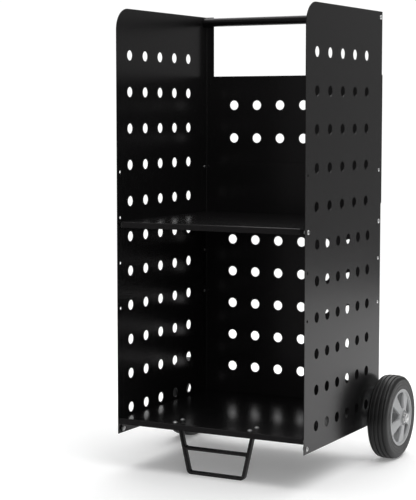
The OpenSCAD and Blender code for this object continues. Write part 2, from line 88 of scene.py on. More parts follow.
# large holes
COLUMNS_IN = (0.058, 0.095)       # behind a side's front edge, and before its rear one
RIGHT_LOW_COLUMNS_IN = (0.0627, 0.082)
UPPER_ROWS_IN = (0.044, 0.106)    # above the mid shelf, and under the side's top
LOWER_ROWS_IN = (0.054, 0.038)    # above the side's foot, and under the mid shelf
BACK_TOP_ROW = 0.068              # the lower back's first row, under the mid shelf
BACK_PITCH = 0.0804               # between the lower back's rows
BACK_REACH = OUTER_X - 0.07875    # the backs' outer columns, from the middle
UPPER_BACK_ROW_IN = 0.072         # the upper back's outer rows, in from its edges

# fasteners, and the spare holes in line with the rivets
FRONT_IN = 0.0153                 # front screws behind the front edge
REAR_IN = 0.015                   # rear screws before the rear edge
MID_DROP = 0.0087                 # the mid shelf's screws under its top
LOW_RISE = 0.011                  # the bottom shelf's screws above the foot of the sides
SPARE_IN = 0.013                  # spare holes behind the front edge
SPARE_RISE = 0.008                # the spare hole next above the mid shelf's top
RIVET_IN = 0.016                  # the lower back's rivets before the rear edge
RIVET_STEPS = (-2, -1, 1)         # their places, in pitches of the spare holes
UPPER_RIVET_IN = 0.019            # the upper back's rivets, in from its ends
PLATE_STEPS = (-0.0175, 0.0175)   # a foot plate's two screws, from its middle
SCREW_R = 0.003
NUT_WIDE, NUT_HIGH = 0.01, 0.005
NUT_PAST = 0.0015                 # thread that shows past a nut
SHARP_EDGE = math.radians(35)     # a crease steeper than this stays sharp
TOUCHING = 1e-7                   # points of a blank this close are one


# ---------- sizes and colours a user may change ----------

def amount(name, description, default, **kind):
    """A number, with its unit, subtype or limits where it has them."""
    return FloatProperty(name=name, description=description, default=default, **kind)


def length(name, description, default):
    """A size in metres, shown in the scene's own unit."""
    return amount(name, description, default, min=0, precision=5, unit="LENGTH")


def count(name, description, default, **limits):
    """A number of like things."""
    return IntProperty(name=name, description=description, default=default, **limits)


def colour(name, description, default):
    """A surface colour."""
    return FloatVectorProperty(name=name, description=description, default=default, size=3,
                               min=0, max=1, subtype="COLOR")


class SheetSizes(bpy.types.PropertyGroup):
    """The sheet steel and how it is cut and folded."""

    sheet: length("Sheet", "Thickness of the sheet steel", 0.0015)
    bend: length("Bend", "Outer radius of every fold", 0.003)
    edge: length("Edge round", "Rounding of the coated edges", 0.00035)
    corner: length("Top corner", "Radius of the top front corner of the sides", 0.05)
    returned: length("Return", "Width of the folded rear edge of the sides", 0.022)
    relief: length("Relief", "Cut-back of a shelf lip at each end", 0.012)
    slot: length("Slot", "Width of the relief slots", 0.0008)
    lip: length("Lip", "Depth of the front and rear shelf lips", 0.0135)
    mid_side: length("Mid side lip", "Depth of the mid shelf's side lips", 0.024)
    back_side: length("Back flange", "Depth of the lower back's side flanges", 0.021)


class HoleSizes(bpy.types.PropertyGroup):
    """The perforation of the sides and the back."""

    large: length("Large hole", "Diameter of the large holes", 0.0235)
    small: length("Small hole", "Diameter of the spare edge holes", 0.007)
    screw: length("Screw hole", "Diameter of the screw holes", 0.006)
    rivet: length("Rivet hole", "Diameter of the rivet holes", 0.0048)
    sides: count("Hole sides", "Straight edges round each hole", 48, min=12, max=96)
    side_cols: count("Side columns", "Columns of large holes in a side", 5, min=3, max=5)
    right_cols: count("Right low columns", "Columns low in the right side", 6, min=4, max=6)
    back_cols: count("Back columns", "Columns across the back", 6, min=3, max=6)
    up_rows: count("Upper rows", "Rows above the mid shelf", 5)
    low_rows: count("Lower rows", "Rows below the mid shelf", 6)
    edge_pitch: length("Edge pitch", "Pitch of the spare edge holes", 0.105)


class StandSizes(bpy.types.PropertyGroup):
    """The bent front stand."""

    foot_w: length("Foot width", "Between the leg centres at the floor", 0.139)
    top_w: length("Top width", "Between the leg centres under the shelf", 0.191)
    bend: length("Bend", "Inner radius of the two floor bends", 0.004)
    deep: length("Bar depth", "Depth of the flat bar, from its front face to its rear", 0.0135)
    corner: length("Bar corner", "Rounding of the flat bar", 0.0009)
    bead: length("Weld bead", "Radius of a weld ripple", 0.0017)


class WheelSizes(bpy.types.PropertyGroup):
    """The moulded rims and their tyres; radii are from the axle."""

    spokes: count("Spokes", "Spokes in a rim", 5, min=4, max=6)
    lead: amount("Lead", "First spoke above the rearward level", math.radians(58), subtype="ANGLE")
    hub: length("Hub", "Radius of the raised hub face", 0.0205)
    window_in: length("Window inner", "Inner radius of the openings", 0.0218)
    window_out: length("Window outer", "Outer radius of the openings", 0.0595)
    root: length("Spoke root", "Width of a spoke at the hub", 0.017)
    tip: length("Spoke tip", "Width of a spoke at the rim", 0.030)
    drum: length("Drum", "Inner radius of the rim's drum", 0.0625)
    seat: length("Seat", "Radius the tyre sits on", 0.066)
    lip: length("Lip", "Radius over the rim's lips", 0.0676)
    sink: length("Dish", "Spoke tips behind the tyre's outer face", 0.0015)
    raised: length("Hub height", "Hub face in front of the spoke roots", 0.0015)
    groove_w: length("Groove", "Width of a tread groove", 0.0028)
    soft: length("Rib edge", "Rounding of the tread ribs", 0.0013)
    shoulder: length("Shoulder", "Radius of the tyre's shoulders", 0.012)
    crown: length("Crown", "Drop of the tread from its middle to the shoulders", 0.0007)
    groove_deep: length("Groove depth", "Depth of a tread groove", 0.0024)
    groove_pitch: length("Groove pitch", "Pitch of the tread grooves", 0.0103)


class FinishColours(bpy.types.PropertyGroup):
    """Colours of the finishes."""

    coat: colour("Powder coat", "Black powder coat", (0.0050, 0.0049, 0.0050))
    zinc: colour("Zinc", "Zinc plate on screws and nuts", (0.62, 0.62, 0.62))
    steel: colour("Steel", "Drawn steel of the axle", (0.46, 0.46, 0.47))
    rubber: colour("Rubber", "Tyre rubber", (0.0034, 0.0034, 0.0035))
    rim: colour("Rim", "Moulded rim", (0.36, 0.365, 0.37))
    nylon: colour("Nylon", "Hub bushes", (0.68, 0.66, 0.58))
    floor: colour("Floor", "Studio floor", (0.90, 0.90, 0.90))


class StageSizes(bpy.types.PropertyGroup):
    """The camera and the lights."""

    camera: FloatVectorProperty(name="Camera", description="Place of the camera", size=3,
                                default=(1.6023, -3.2122, 0.8258), subtype="TRANSLATION")
    yaw: amount("Yaw", "Turn of the camera off the cart's middle plane", math.radians(28.46),
                subtype="ANGLE")
    pitch: amount("Pitch", "Downward tilt of the camera", math.radians(5.17), subtype="ANGLE")
    lens: amount("Lens", "Focal length on a 36 mm frame", 109.37, min=10, subtype="DISTANCE_CAMERA")
    key: amount("Key", "Strength of the soft light at the right", 60)
    top: amount("Top", "Strength of the broad light overhead", 190)
    rear: amount("Rear", "Strength of the light on the rear floor", 175)
    front: amount("Front", "Strength of the low light at the front", 45)
    sky: amount("Surround", "Strength of the dim surround", 0.13)
    sides: amount("Sides", "Strength of the surround at the sides", 0.28)
    fade_from: length("Fade start", "Where the floor starts to turn white, from the cart", 1.5)
    fade_over: length("Fade width", "How far it takes to turn white", 1.6)
    floor_rear: length("Floor rear", "How far the floor reaches behind the cart", 3.3)
    floor_front: amount("Floor front", "Where the floor stops being mirrored", -0.45, unit="LENGTH")


# ---------- node trees ----------

class Wire:
    """A node's output that can stand in plain arithmetic."""

    def __init__(self, graph, socket):
        self.graph = graph
        self.socket = socket

    def __add__(self, other):
        return self.graph.math("ADD", self, other)

    def __sub__(self, other):
        return self.graph.math("SUBTRACT", self, other)

    def __rsub__(self, other):
        return self.graph.math("SUBTRACT", other, self)

    def __mul__(self, other):
        return self.graph.math("MULTIPLY", self, other)

    def __truediv__(self, other):
        return self.graph.math("DIVIDE", self, other)

    def clamped(self):
        """Kept between 0 and 1."""
        return self.graph.add("ShaderNodeClamp", {}, {0: self})

    def beside(self, name):
        """Another output of the same node."""
        return Wire(self.graph, self.socket.node.outputs[name])

    __radd__ = __add__
    __rmul__ = __mul__


class Graph:
    """Adds nodes to a tree and joins them."""

    def __init__(self, tree):
        self.tree = tree

    def add(self, kind, settings, sockets, out=0):
        """A new node: its settings first, then the values or wires of its sockets."""
        node = self.tree.nodes.new(kind)
        for name, value in settings.items():
            setattr(node, name, value)
        for name, value in sockets.items():
            self.put(node.inputs[name], value)
        return Wire(self, node.outputs[out]) if node.outputs else None

    def put(self, socket, value):
        """Links a wire to a socket, or sets the socket's value."""
        if isinstance(value, Wire):
            self.tree.links.new(value.socket, socket)
        else:
            socket.default_value = value

    def math(self, operation, *values):
        """A Math node on these values."""
        return self.add("ShaderNodeMath", {"operation": operation}, dict(enumerate(values)))

    def vector(self, operation, *values, out=0):
        """A Vector Math node on these values."""
        return self.add("ShaderNodeVectorMath", {"operation": operation}, dict(enumerate(values)),
                        out=out)


class ShapeTree(Graph):
    """A geometry tree with named inputs, the finish last; its shape comes out as a real mesh."""

    def __init__(self, name, inputs):
        super().__init__(bpy.data.node_groups.new(name, "GeometryNodeTree"))
        inputs = {**inputs, "Finish": "Material"}
        for label, kind in inputs.items():
            self.tree.interface.new_socket(label, in_out="INPUT", socket_type="NodeSocket" + kind)
        self.tree.interface.new_socket("Made", in_out="OUTPUT", socket_type="NodeSocketGeometry")
        source = self.add("NodeGroupInput", {}, {})
        self.given = {label: source.beside(label) for label in inputs}

    def attribute(self, name, kind):
        """What the points carry under this name."""
        return self.add("GeometryNodeInputNamedAttribute", {"data_type": kind}, {"Name": name})

    def model(self, label):
        """The mesh of the object given under this name."""
        return self.add("GeometryNodeObjectInfo", {}, {"Object": self.given[label]}, out="Geometry")

    def turn(self, angles):
        """A rotation from three angles."""
        return self.add("FunctionNodeEulerToRotation", {}, {0: angles})

    def about_z(self, angle):
        """A rotation about Z."""
        return self.turn(self.add("ShaderNodeCombineXYZ", {}, {"Z": angle}))

    def chance(self, low, high, seed):
        """A random number for each point."""
        return self.add("FunctionNodeRandomValue", {"data_type": "FLOAT"}, {
            2: low, 3: high, "Seed": seed}, out=1)

    def placed(self, points, shape, **more):
        """The shape at every point."""
        return self.add("GeometryNodeInstanceOnPoints", {}, {
            "Points": points, "Instance": shape, **more})

    def real(self, shape):
        """Placed copies made a mesh of their own."""
        return self.add("GeometryNodeRealizeInstances", {}, {0: shape})

    def together(self, *shapes):
        """Several shapes as one."""
        whole = self.add("GeometryNodeJoinGeometry", {}, {})
        for shape in shapes:
            self.put(whole.socket.node.inputs[0], shape)
        return whole

    def ended(self, shape):
        """The tree, once this shape is made real, finished and put out."""
        coated = self.add("GeometryNodeSetMaterial", {}, {
            "Geometry": self.real(shape), "Material": self.given["Finish"]})
        self.add("NodeGroupOutput", {}, {0: coated})
        return self.tree


class Finish(Graph):
    """A material: one Principled shader fed by patterns on Object coordinates."""

    def __init__(self, name, **constants):
        self.material = bpy.data.materials.new(name)
        self.material.use_nodes = True
        super().__init__(self.material.node_tree)
        self.tree.nodes.clear()
        shader = self.add("ShaderNodeBsdfPrincipled", {}, {
            key.replace("_", " "): value for key, value in constants.items()})
        self.sockets = shader.socket.node.inputs
        self.add("ShaderNodeOutputMaterial", {}, {"Surface": shader})
        self.place = self.add("ShaderNodeTexCoord", {}, {}, out="Object")

    def noise(self, per_metre, detail, place=None):
        """Soft noise with this many features to the metre."""
        return self.add("ShaderNodeTexNoise", {}, {
            "Vector": place or self.place, "Scale": per_metre, "Detail": detail})

    def shades(self, factor, rgb, dark, light):
        """A colour that varies between a darker and a lighter shade of itself."""
        low, high = ((*(min(1.0, c * k) for c in rgb), 1.0) for k in (dark, light))
        return self.add("ShaderNodeMix", {"data_type": "RGBA"}, {
            "Factor": factor, 6: low, 7: high}, out=2)

    def paint(self, shade, roughness, height, distance, strength):
        """Feeds the shader's colour, roughness and relief."""
        self.put(self.sockets["Base Color"], shade)
        self.put(self.sockets["Roughness"], roughness)
        bump = self.add("ShaderNodeBump", {}, {
            "Height": height, "Distance": distance, "Strength": strength})
        self.put(self.sockets["Normal"], bump)
        return self.material


# ---------- finishes ----------

WHITE_GLOW = 1.05                 # strength of a light that shows as plain white


def powder_coat(name, rgb):
    """Satin powder coat: orange peel, a fine grain and faint cloudiness."""
    f = Finish(name, Specular_IOR_Level=0.26, Specular_Tint=(1.0, 0.955, 0.975, 1.0))
    cloud = f.noise(5.0, 3.0)
    grain = f.noise(2600.0, 1.0)
    shade = f.shades((cloud * 0.7 + grain * 0.3).clamped(), rgb, 0.75, 1.35)
    swell = f.noise(420.0, 2.0)
    fine = f.noise(1500.0, 2.0)
    roughness = 0.19 + 0.05 * cloud + 0.03 * fine
    return f.paint(shade, roughness, swell * 0.7 + fine * 0.3, 0.00012, 0.35)


def plated(name, rgb):
    """Bright zinc plate with faint clouding and fine pits."""
    f = Finish(name, Metallic=1.0)
    cloud = f.noise(260.0, 3.0)
    shade = f.shades(cloud, rgb, 0.82, 1.12)
    return f.paint(shade, 0.24 + 0.16 * cloud, f.noise(3000.0, 2.0), 0.00003, 0.4)


def drawn_steel(name, rgb):
    """Drawn bar with fine lines along its length."""
    f = Finish(name, Metallic=1.0)
    lines = f.noise(1.0, 2.0, f.vector("MULTIPLY", f.place, (8.0, 3500.0, 3500.0)))
    shade = f.shades(lines, rgb, 0.8, 1.15)
    return f.paint(shade, 0.28 + 0.12 * lines, lines, 0.00003, 0.5)


def rubber(name, rgb, middle):
    """Tyre rubber: fine grain and dull blotches all over, moulded rings on the walls."""
    ring_pitch, wall_top, steep = 0.0022, 0.0915, 400.0
    f = Finish(name, Specular_IOR_Level=0.42)
    turned = f.vector("MULTIPLY", f.vector("SUBTRACT", f.place, middle), (0.0, 1.0, 1.0))
    radius = f.vector("LENGTH", turned, out="Value")
    rings = f.math("SINE", radius * (TAU / ring_pitch))
    wall = ((wall_top - radius) * steep).clamped()
    grain = f.noise(1900.0, 3.0)
    blotch = f.noise(38.0, 3.0)
    shade = f.shades((blotch * 0.6 + grain * 0.4).clamped(), rgb, 0.7, 1.45)
    height = grain * 0.6 + rings * wall * 0.12
    return f.paint(shade, 0.38 + 0.12 * blotch, height, 0.0002, 0.6)


def moulded(name, rgb, rough):
    """Moulded plastic: fine spark-eroded grain and faint flow marks."""
    f = Finish(name, Specular_IOR_Level=0.5)
    flow = f.noise(22.0, 3.0)
    grain = f.noise(2200.0, 2.0)
    shade = f.shades((flow * 0.7 + grain * 0.3).clamped(), rgb, 0.88, 1.1)
    return f.paint(shade, rough + 0.08 * grain, grain, 0.00006, 0.5)


def studio_floor(name, rgb):
    """Matt seamless paper, faintly lit from under it."""
    f = Finish(name, Specular_IOR_Level=0.2, Emission_Color=(1, 1, 1, 1), Emission_Strength=0.19)
    shade = f.shades(f.noise(3.0, 2.0), rgb, 0.995, 1.0)
    return f.paint(shade, 0.9, f.noise(500.0, 1.0), 0.00001, 0.1)


def white_fade(name, start, over):
    """Clear near the cart and a plain bright white far from it."""
    f = Finish(name, Specular_IOR_Level=0.0, Base_Color=(0, 0, 0, 1), Emission_Color=(1, 1, 1, 1),
               Emission_Strength=WHITE_GLOW)
    away = f.vector("LENGTH", f.place, out="Value")
    part = ((away - start) / over).clamped()
    f.put(f.sockets["Alpha"], part * part)
    return f.material


FINISHES = {}


def finish(name):
    """One of the cart's finishes, made when it is first asked for."""
    if name not in FINISHES:
        c = bpy.context.scene.cart_colours
        makers = {
            "black_steel": lambda: powder_coat("black_powder_coat", c.coat),
            "zinc": lambda: plated("zinc_plate", c.zinc),
            "bright_steel": lambda: drawn_steel("drawn_steel", c.steel),
            "tyre": lambda: rubber("tyre_rubber", c.rubber, AXLE),
            "rim": lambda: moulded("rim_plastic", c.rim, 0.38),
            "bush": lambda: moulded("bush_nylon", c.nylon, 0.45),
            "floor": lambda: studio_floor("studio_floor", c.floor),
        }
        FINISHES[name] = makers[name]()
    return FINISHES[name]


# ---------- making and placing pieces ----------

def linked(name, data):
    """A new object in the scene."""
    thing = bpy.data.objects.new(name, data)
    bpy.context.scene.collection.objects.link(thing)
    return thing


def add_piece(name, mesh, slot, body, *nodes):
    """Links a finished mesh as a piece of the cart, gives it its finish, puts it under its body and
    hides the model's parts that it replaces.
    """
    piece = linked(name, mesh)
    mesh.materials.clear()
    mesh.materials.append(finish(slot))
    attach(piece, body)
    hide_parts(*nodes)


def add_wheel_pair(kind, mesh, slot):
    """Adds a piece of the right wheel, and its mirror image to the left wheel."""
    add_piece("left_" + kind, mirrored(mesh), slot, "wheel_left", kind + "_left")
    add_piece("right_" + kind, mesh, slot, "wheel_right", kind + "_right")


def baked(holder):
    """The plain mesh that an object's modifiers make; the object goes."""
    graph = bpy.context.evaluated_depsgraph_get()
    mesh = bpy.data.meshes.new_from_object(holder.evaluated_get(graph), depsgraph=graph)
    bpy.data.objects.remove(holder)
    return mesh


def run_tree(tree, mesh, **values):
    """What a geometry tree makes of a mesh, with its inputs set by name."""
    holder = linked("helper", mesh)
    modifier = holder.modifiers.new("tree", "NODES")
    modifier.node_group = tree
    for item in tree.interface.items_tree:
        if item.in_out == "INPUT" and item.name in values:
            modifier[item.identifier] = values[item.name]
    return baked(holder)


def as_mesh(bm, name):
    """A bmesh made a plain mesh."""
    mesh = bpy.data.meshes.new(name)
    bm.to_mesh(mesh)
    bm.free()
    return mesh


def smoothed(mesh):
    """Smooth shading that keeps the sharp edges."""
    mesh.polygons.foreach_set("use_smooth", [True] * len(mesh.polygons))
    mesh.set_sharp_from_angle(angle=SHARP_EDGE)
    return mesh


def moved(mesh, matrix):
    """The mesh put in its place; a mirrored one is turned right side out again."""
    mesh.transform(matrix)
    if matrix.determinant() < 0:
        mesh.flip_normals()
    return mesh


def joined(meshes):
    """Several meshes as one."""
    bm = bmesh.new()
    for mesh in meshes:
        bm.from_mesh(mesh)
    return smoothed(as_mesh(bm, "joined"))


def mirrored(mesh):
    """A copy of a mesh on the other side of the cart."""
    return moved(mesh.copy(), Matrix.Scale(-1, 4, (1, 0, 0)))


def facing(origin, outward):
    """Places local +Z along a world direction at an origin."""
    turn = Vector((0, 0, 1)).rotation_difference(Vector(outward))
    return Matrix.Translation(origin) @ turn.to_matrix().to_4x4()


def on_axle(x):
    """Places local +Z outwards along the axle's line, from this x."""
    return facing((x, AXLE.y, AXLE.z), (1, 0, 0))


def both_ways(points):
    """Each (x, y, z) on both sides of the cart, facing outwards."""
    return [((side * x, y, z), (side, 0, 0)) for side in (-1, 1) for x, y, z in points]


def both_sides(right):
    """The right half of an outline, and back along its left half."""
    return right + [(-x, y) for x, y in reversed(right)]


def arc(centre, radius, start, end, steps):
    """Points along an arc, in degrees, both ends included."""
    angles = [math.radians(start + (end - start) * k / steps) for k in range(steps + 1)]
    return [(centre[0] + radius * math.cos(a), centre[1] + radius * math.sin(a)) for a in angles]


def spaced(first, last, count):
    """Evenly spaced numbers."""
    return [first + (last - first) * k / (count - 1) for k in range(count)]


def closed(corners):
    """A list of section points that ends where it starts."""
    return corners + corners[:1]


def turned(rings, sides, name="turned"):
    """A closed turned body about +Z.

    A ring is (height, radius), and its radius is a number or a function of the angle. A first or
    last radius of 0 closes the body in a point. Rings whose first and last are the same make a
    hollow body, closed on itself.
    """
    hollow = rings[0] == rings[-1]
    bm = bmesh.new()
    loops = []
    for height, radius in rings[:-1] if hollow else rings:
        if radius == 0:
            loops.append([bm.verts.new((0, 0, height))])
            continue
        loop = []
        for k in range(sides):
            a = TAU * k / sides
            r = radius(a) if callable(radius) else radius
            loop.append(bm.verts.new((r * math.cos(a), r * math.sin(a), height)))
        loops.append(loop)
    if hollow:
        loops.append(loops[0])
    for low, high in zip(loops, loops[1:]):
        for k in range(sides):
            n = (k + 1) % sides
            corners = [low[k % len(low)], low[n % len(low)],
                       high[n % len(high)], high[k % len(high)]]
            bm.faces.new(list(dict.fromkeys(corners)))
    if not hollow:
        for loop in (loops[0], loops[-1]):
            if len(loop) > 1:
                bm.faces.new(loop)
    bmesh.ops.recalc_face_normals(bm, faces=bm.faces)
    return smoothed(as_mesh(bm, name))


def hexagon(across, chamfer=None):
    """Radius of a hexagon at an angle, cut by a round chamfer."""
    def radius(angle):
        off = (angle % (math.pi / 3)) - math.pi / 6
        r = across / 2 / math.cos(off)
        return min(r, chamfer) if chamfer else r
    return radius


# ---------- folded sheet ----------

def blank_tree():
    """Outline edges and hole points in, one flat perforated face out."""
    g = ShapeTree("perforated_blank", {"Outline": "Geometry", "Hole sides": "Int"})
    radius = g.attribute("hole_r", "FLOAT")
    is_hole = g.add("FunctionNodeCompare", {"operation": "GREATER_THAN"}, {0: radius, 1: 0.0})
    parts = g.add("GeometryNodeSeparateGeometry", {"domain": "POINT"}, {
        "Geometry": g.given["Outline"], "Selection": is_hole})
    circle = g.add("GeometryNodeCurvePrimitiveCircle", {"mode": "RADIUS"}, {
        "Resolution": g.given["Hole sides"], "Radius": 1.0})
    cuts = g.real(g.placed(parts, circle, Scale=radius))
    edge = g.add("GeometryNodeMeshToCurve", {}, {0: parts.beside("Inverted")})
    both = g.together(edge, cuts)
    return g.ended(g.add("GeometryNodeFillCurve", {"mode": "NGONS"}, {0: both}))


def blank(outline, holes):
    """A flat sheet cut to an outline with (x, y, diameter) holes, facing +Z."""
    mesh = bpy.data.meshes.new("blank")
    count = len(outline)
    points = [(x, y, 0) for x, y in outline] + [(x, y, 0) for x, y, _ in holes]
    mesh.from_pydata(points, [(k, (k + 1) % count) for k in range(count)], [])
    radii = mesh.attributes.new("hole_r", "FLOAT", "POINT")
    radii.data.foreach_set("value", [0.0] * count + [d / 2 for _, _, d in holes])
    tree = bpy.data.node_groups.get("perforated_blank") or blank_tree()
    made = run_tree(tree, mesh, **{
        "Hole sides": bpy.context.scene.cart_holes.sides, "Finish": finish("black_steel")})
    bm = bmesh.new()
    bm.from_mesh(made)
    bmesh.ops.remove_doubles(bm, verts=bm.verts, dist=TOUCHING)
    for face in bm.faces:
        if face.normal.z < 0:
            face.normal_flip()
    return bm


def fold(bm, line, outward, radius, within=None, steps=8):
    """Folds what lies past a line down through a right angle, round an outer radius."""
    line, outward = Vector((*line, 0)), Vector((*outward, 0))
    for k in range(steps + 1):
        at = line + outward * (radius * math.pi / 2 * k / steps)
        bmesh.ops.bisect_plane(bm, geom=bm.verts[:] + bm.edges[:] + bm.faces[:], dist=TOUCHING,
                               plane_co=at, plane_no=outward)
    for v in bm.verts:
        past = (v.co - line).dot(outward)
        if past <= TOUCHING or (within and not within(v.co)):
            continue
        turn = min(past / radius, math.pi / 2)
        beyond = max(0.0, past - radius * math.pi / 2)
        v.co += outward * (radius * math.sin(turn) - past)
        v.co.z -= radius * (1 - math.cos(turn)) + beyond


def thickened(bm, thick, edge, matrix):
    """The folded face put in its place, as sheet of this thickness with rounded edges."""
    bm.transform(matrix)
    if matrix.determinant() < 0:
        bmesh.ops.reverse_faces(bm, faces=bm.faces)
    mesh = as_mesh(bm, "sheet")
    holder = linked("helper", mesh)
    wall = holder.modifiers.new("wall", "SOLIDIFY")
    wall.thickness, wall.offset, wall.use_even_offset = thick, -1.0, True
    rounding = holder.modifiers.new("rounding", "BEVEL")
    rounding.width, rounding.segments = edge, 2
    rounding.limit_method, rounding.angle_limit = "ANGLE", math.radians(60)
    mesh.polygons.foreach_set("use_smooth", [True] * len(mesh.polygons))
    weighted = holder.modifiers.new("weighted", "WEIGHTED_NORMAL")
    weighted.keep_sharp = True
    return baked(holder)


def past_bend(depth, radius):
    """Length along the blank, from a fold's start, to a depth down the folded flange."""
    return radius * math.pi / 2 + depth - radius


# ---------- panels and shelves ----------

def hole_field(columns, rows, diameter):
    """Large holes at every crossing of these columns and rows."""
    return [(x, y, diameter) for x in columns for y in rows]


def side_holes(holes, low_columns, low_in, spare_steps):
    """Every hole of a side: columns from the front edge, heights from the bottom edge."""
    depth, height, shelf = REAR - FRONT, TOP - FOOT, MID_TOP - FOOT
    upper = spaced(COLUMNS_IN[0], depth - COLUMNS_IN[1], holes.side_cols)
    lower = spaced(low_in[0], depth - low_in[1], low_columns)
    rows = spaced(shelf + UPPER_ROWS_IN[0], height - UPPER_ROWS_IN[1], holes.up_rows)
    cuts = hole_field(upper, rows, holes.large)
    rows = spaced(LOWER_ROWS_IN[0], shelf - LOWER_ROWS_IN[1], holes.low_rows)
    cuts += hole_field(lower, rows, holes.large)
    spare = shelf + SPARE_RISE
    cuts += [(SPARE_IN, spare + k * holes.edge_pitch, holes.small) for k in spare_steps]
    cuts += [(depth - RIVET_IN, spare + k * holes.edge_pitch, holes.rivet) for k in RIVET_STEPS]
    cuts += [(across, shelf - MID_DROP, holes.screw) for across in (FRONT_IN, depth - REAR_IN)]
    cuts.append((FRONT_IN, LOW_RISE, holes.screw))
    cuts.append((HANDLE.y - FRONT, HANDLE.z - FOOT, holes.screw))
    cuts.append((AXLE.y - FRONT, AXLE.z - FOOT, AXLE_WIDE))
    return cuts


def upper_rivet_heights():
    """Heights of the three rivets at each end of the upper back."""
    return spaced(UPPER_LOW.z + UPPER_RIVET_IN, UPPER_HIGH.z - UPPER_RIVET_IN, 3)


def side_mesh(sizes, holes, cuts, hand):
    """A side in its place with these holes: the right one with hand 1, the left one with -1."""
    depth, height = REAR - FRONT, TOP - FOOT
    bend_at = depth - sizes.bend
    end = bend_at + past_bend(sizes.returned, sizes.bend)
    nose, tip = sizes.corner, 0.002
    outline = [(0, 0), (end - tip, 0)] + arc((end - tip, tip), tip, -90, 0, 4)
    outline += arc((end - tip, height - tip), tip, 0, 90, 4)
    outline += arc((nose, height - nose), nose, 90, 180, 24)
    outline = list(dict.fromkeys((round(x, 7), round(y, 7)) for x, y in outline))
    across = bend_at + past_bend(sizes.returned / 2, sizes.bend)
    cuts = cuts + [(across, z - FOOT, holes.rivet) for z in upper_rivet_heights()]
    bm = blank(outline, cuts)
    fold(bm, (bend_at, 0), (1, 0), sizes.bend)
    place = Matrix(((0, 0, hand, hand * OUTER_X), (1, 0, 0, FRONT), (0, 1, 0, FOOT), (0, 0, 0, 1)))
    return thickened(bm, sizes.sheet, sizes.edge, place)


def tray_mesh(sizes, box_low, box_high, side_lip, flange_cuts, face_cuts, full_front=False):
    """A shelf pressing: a flat face with four lips folded down and slots at its corners."""
    half_x = (box_high.x - box_low.x) / 2
    half_y = (box_high.y - box_low.y) / 2
    fold_x, fold_y = half_x - sizes.bend, half_y - sizes.bend
    end_x = fold_x + past_bend(side_lip, sizes.bend)
    end_y = fold_y + past_bend(sizes.lip, sizes.bend)
    lip_x, lip_y = half_x - sizes.relief, half_y - sizes.relief
    nose, root, rear_gap = 0.003, 0.0004, 0.0025
    rear_y = half_y - rear_gap

    def flange(y):
        """The end of a side flange at this distance, and the slot past it."""
        return arc((end_x - nose, y - nose), nose, 0, 90, 4) + [
            (fold_x - root, y), (fold_x - root, y + sizes.slot), (half_x, y + sizes.slot)]

    corner = [(half_x, half_y), (lip_x + sizes.slot, half_y), (lip_x + sizes.slot, fold_y - root),
              (lip_x, fold_y - root)] + arc((lip_x - nose, end_y - nose), nose, 0, 90, 4)
    rear = flange(rear_y) + corner
    front, front_x = flange(lip_y) + corner, lip_x
    if full_front:
        front_x = half_x - 2 * root
        front = flange(lip_y) + [(half_x, fold_y - root), (front_x, fold_y - root)]
        front += arc((front_x - root, end_y - root), root, 0, 90, 4)
    outline = both_sides(rear) + both_sides([(-x, -y) for x, y in front])
    middle = (box_low + box_high) / 2
    cuts = list(face_cuts)
    for y, depth, diameter in flange_cuts:
        across = fold_x + past_bend(depth, sizes.bend)
        cuts += [(side * across, y - middle.y, diameter) for side in (-1, 1)]
    bm = blank(outline, cuts)
    slack = 1e-5
    for side in (-1, 1):
        reach = (front_x if side < 0 else lip_x) + slack
        fold(bm, (0, side * fold_y), (0, side), sizes.bend, lambda p: abs(p.x) < reach)
        fold(bm, (side * fold_x, 0), (side, 0), sizes.bend,
             lambda p: -lip_y - slack < p.y < rear_y + slack)
    place = Matrix.Translation((0, middle.y, box_high.z))
    return thickened(bm, sizes.sheet, sizes.edge, place)


def back_place(y, z):
    """Stands a blank up, its face to the rear, its bottom edge at z."""
    return Matrix(((-1, 0, 0, 0), (0, 0, 1, y), (0, 1, 0, z), (0, 0, 0, 1)))


def pan_mesh(sizes, holes):
    """The lower back: a pan with two flanges folded forward, open where the mid shelf passes."""
    half, height = BACK_HIGH.x, BACK_HIGH.z - BACK_LOW.z
    fold_x = half - sizes.bend
    end_x = fold_x + past_bend(sizes.back_side, sizes.bend)
    notch_x = fold_x + past_bend(sizes.bend, sizes.bend)
    gap_under, gap_over, skirt_gap, skirt_over = 0.002, 0.003, 0.002, 0.0005
    low = MID_TOP - sizes.mid_side - gap_under - BACK_LOW.z
    high = MID_TOP + gap_over - BACK_LOW.z
    skirt, skirt_x = FLOOR_TOP + skirt_over - BACK_LOW.z, half - sizes.relief - skirt_gap
    outline = both_sides([(skirt_x, 0), (skirt_x, skirt), (end_x, skirt), (end_x, low), (notch_x, low),
                          (notch_x, high), (end_x, high), (end_x, height)])
    top_row = MID_TOP - FOOT - BACK_TOP_ROW
    whole_rows = 1 + math.floor((top_row - (FLOOR_TOP - FOOT)) / BACK_PITCH)
    rows = [top_row - k * BACK_PITCH + FOOT - BACK_LOW.z for k in range(whole_rows)]
    cuts = hole_field(spaced(-BACK_REACH, BACK_REACH, holes.back_cols), rows, holes.large)
    across = fold_x + past_bend(BACK_HIGH.y - (REAR - RIVET_IN), sizes.bend)
    for k in RIVET_STEPS:
        z = MID_TOP + SPARE_RISE + k * holes.edge_pitch - BACK_LOW.z
        cuts += [(side * across, z, holes.rivet) for side in (-1, 1)]
    bm = blank(outline, cuts)
    for side in (-1, 1):
        fold(bm, (side * fold_x, 0), (side, 0), sizes.bend)
    return thickened(bm, sizes.sheet, sizes.edge, back_place(BACK_HIGH.y, BACK_LOW.z))


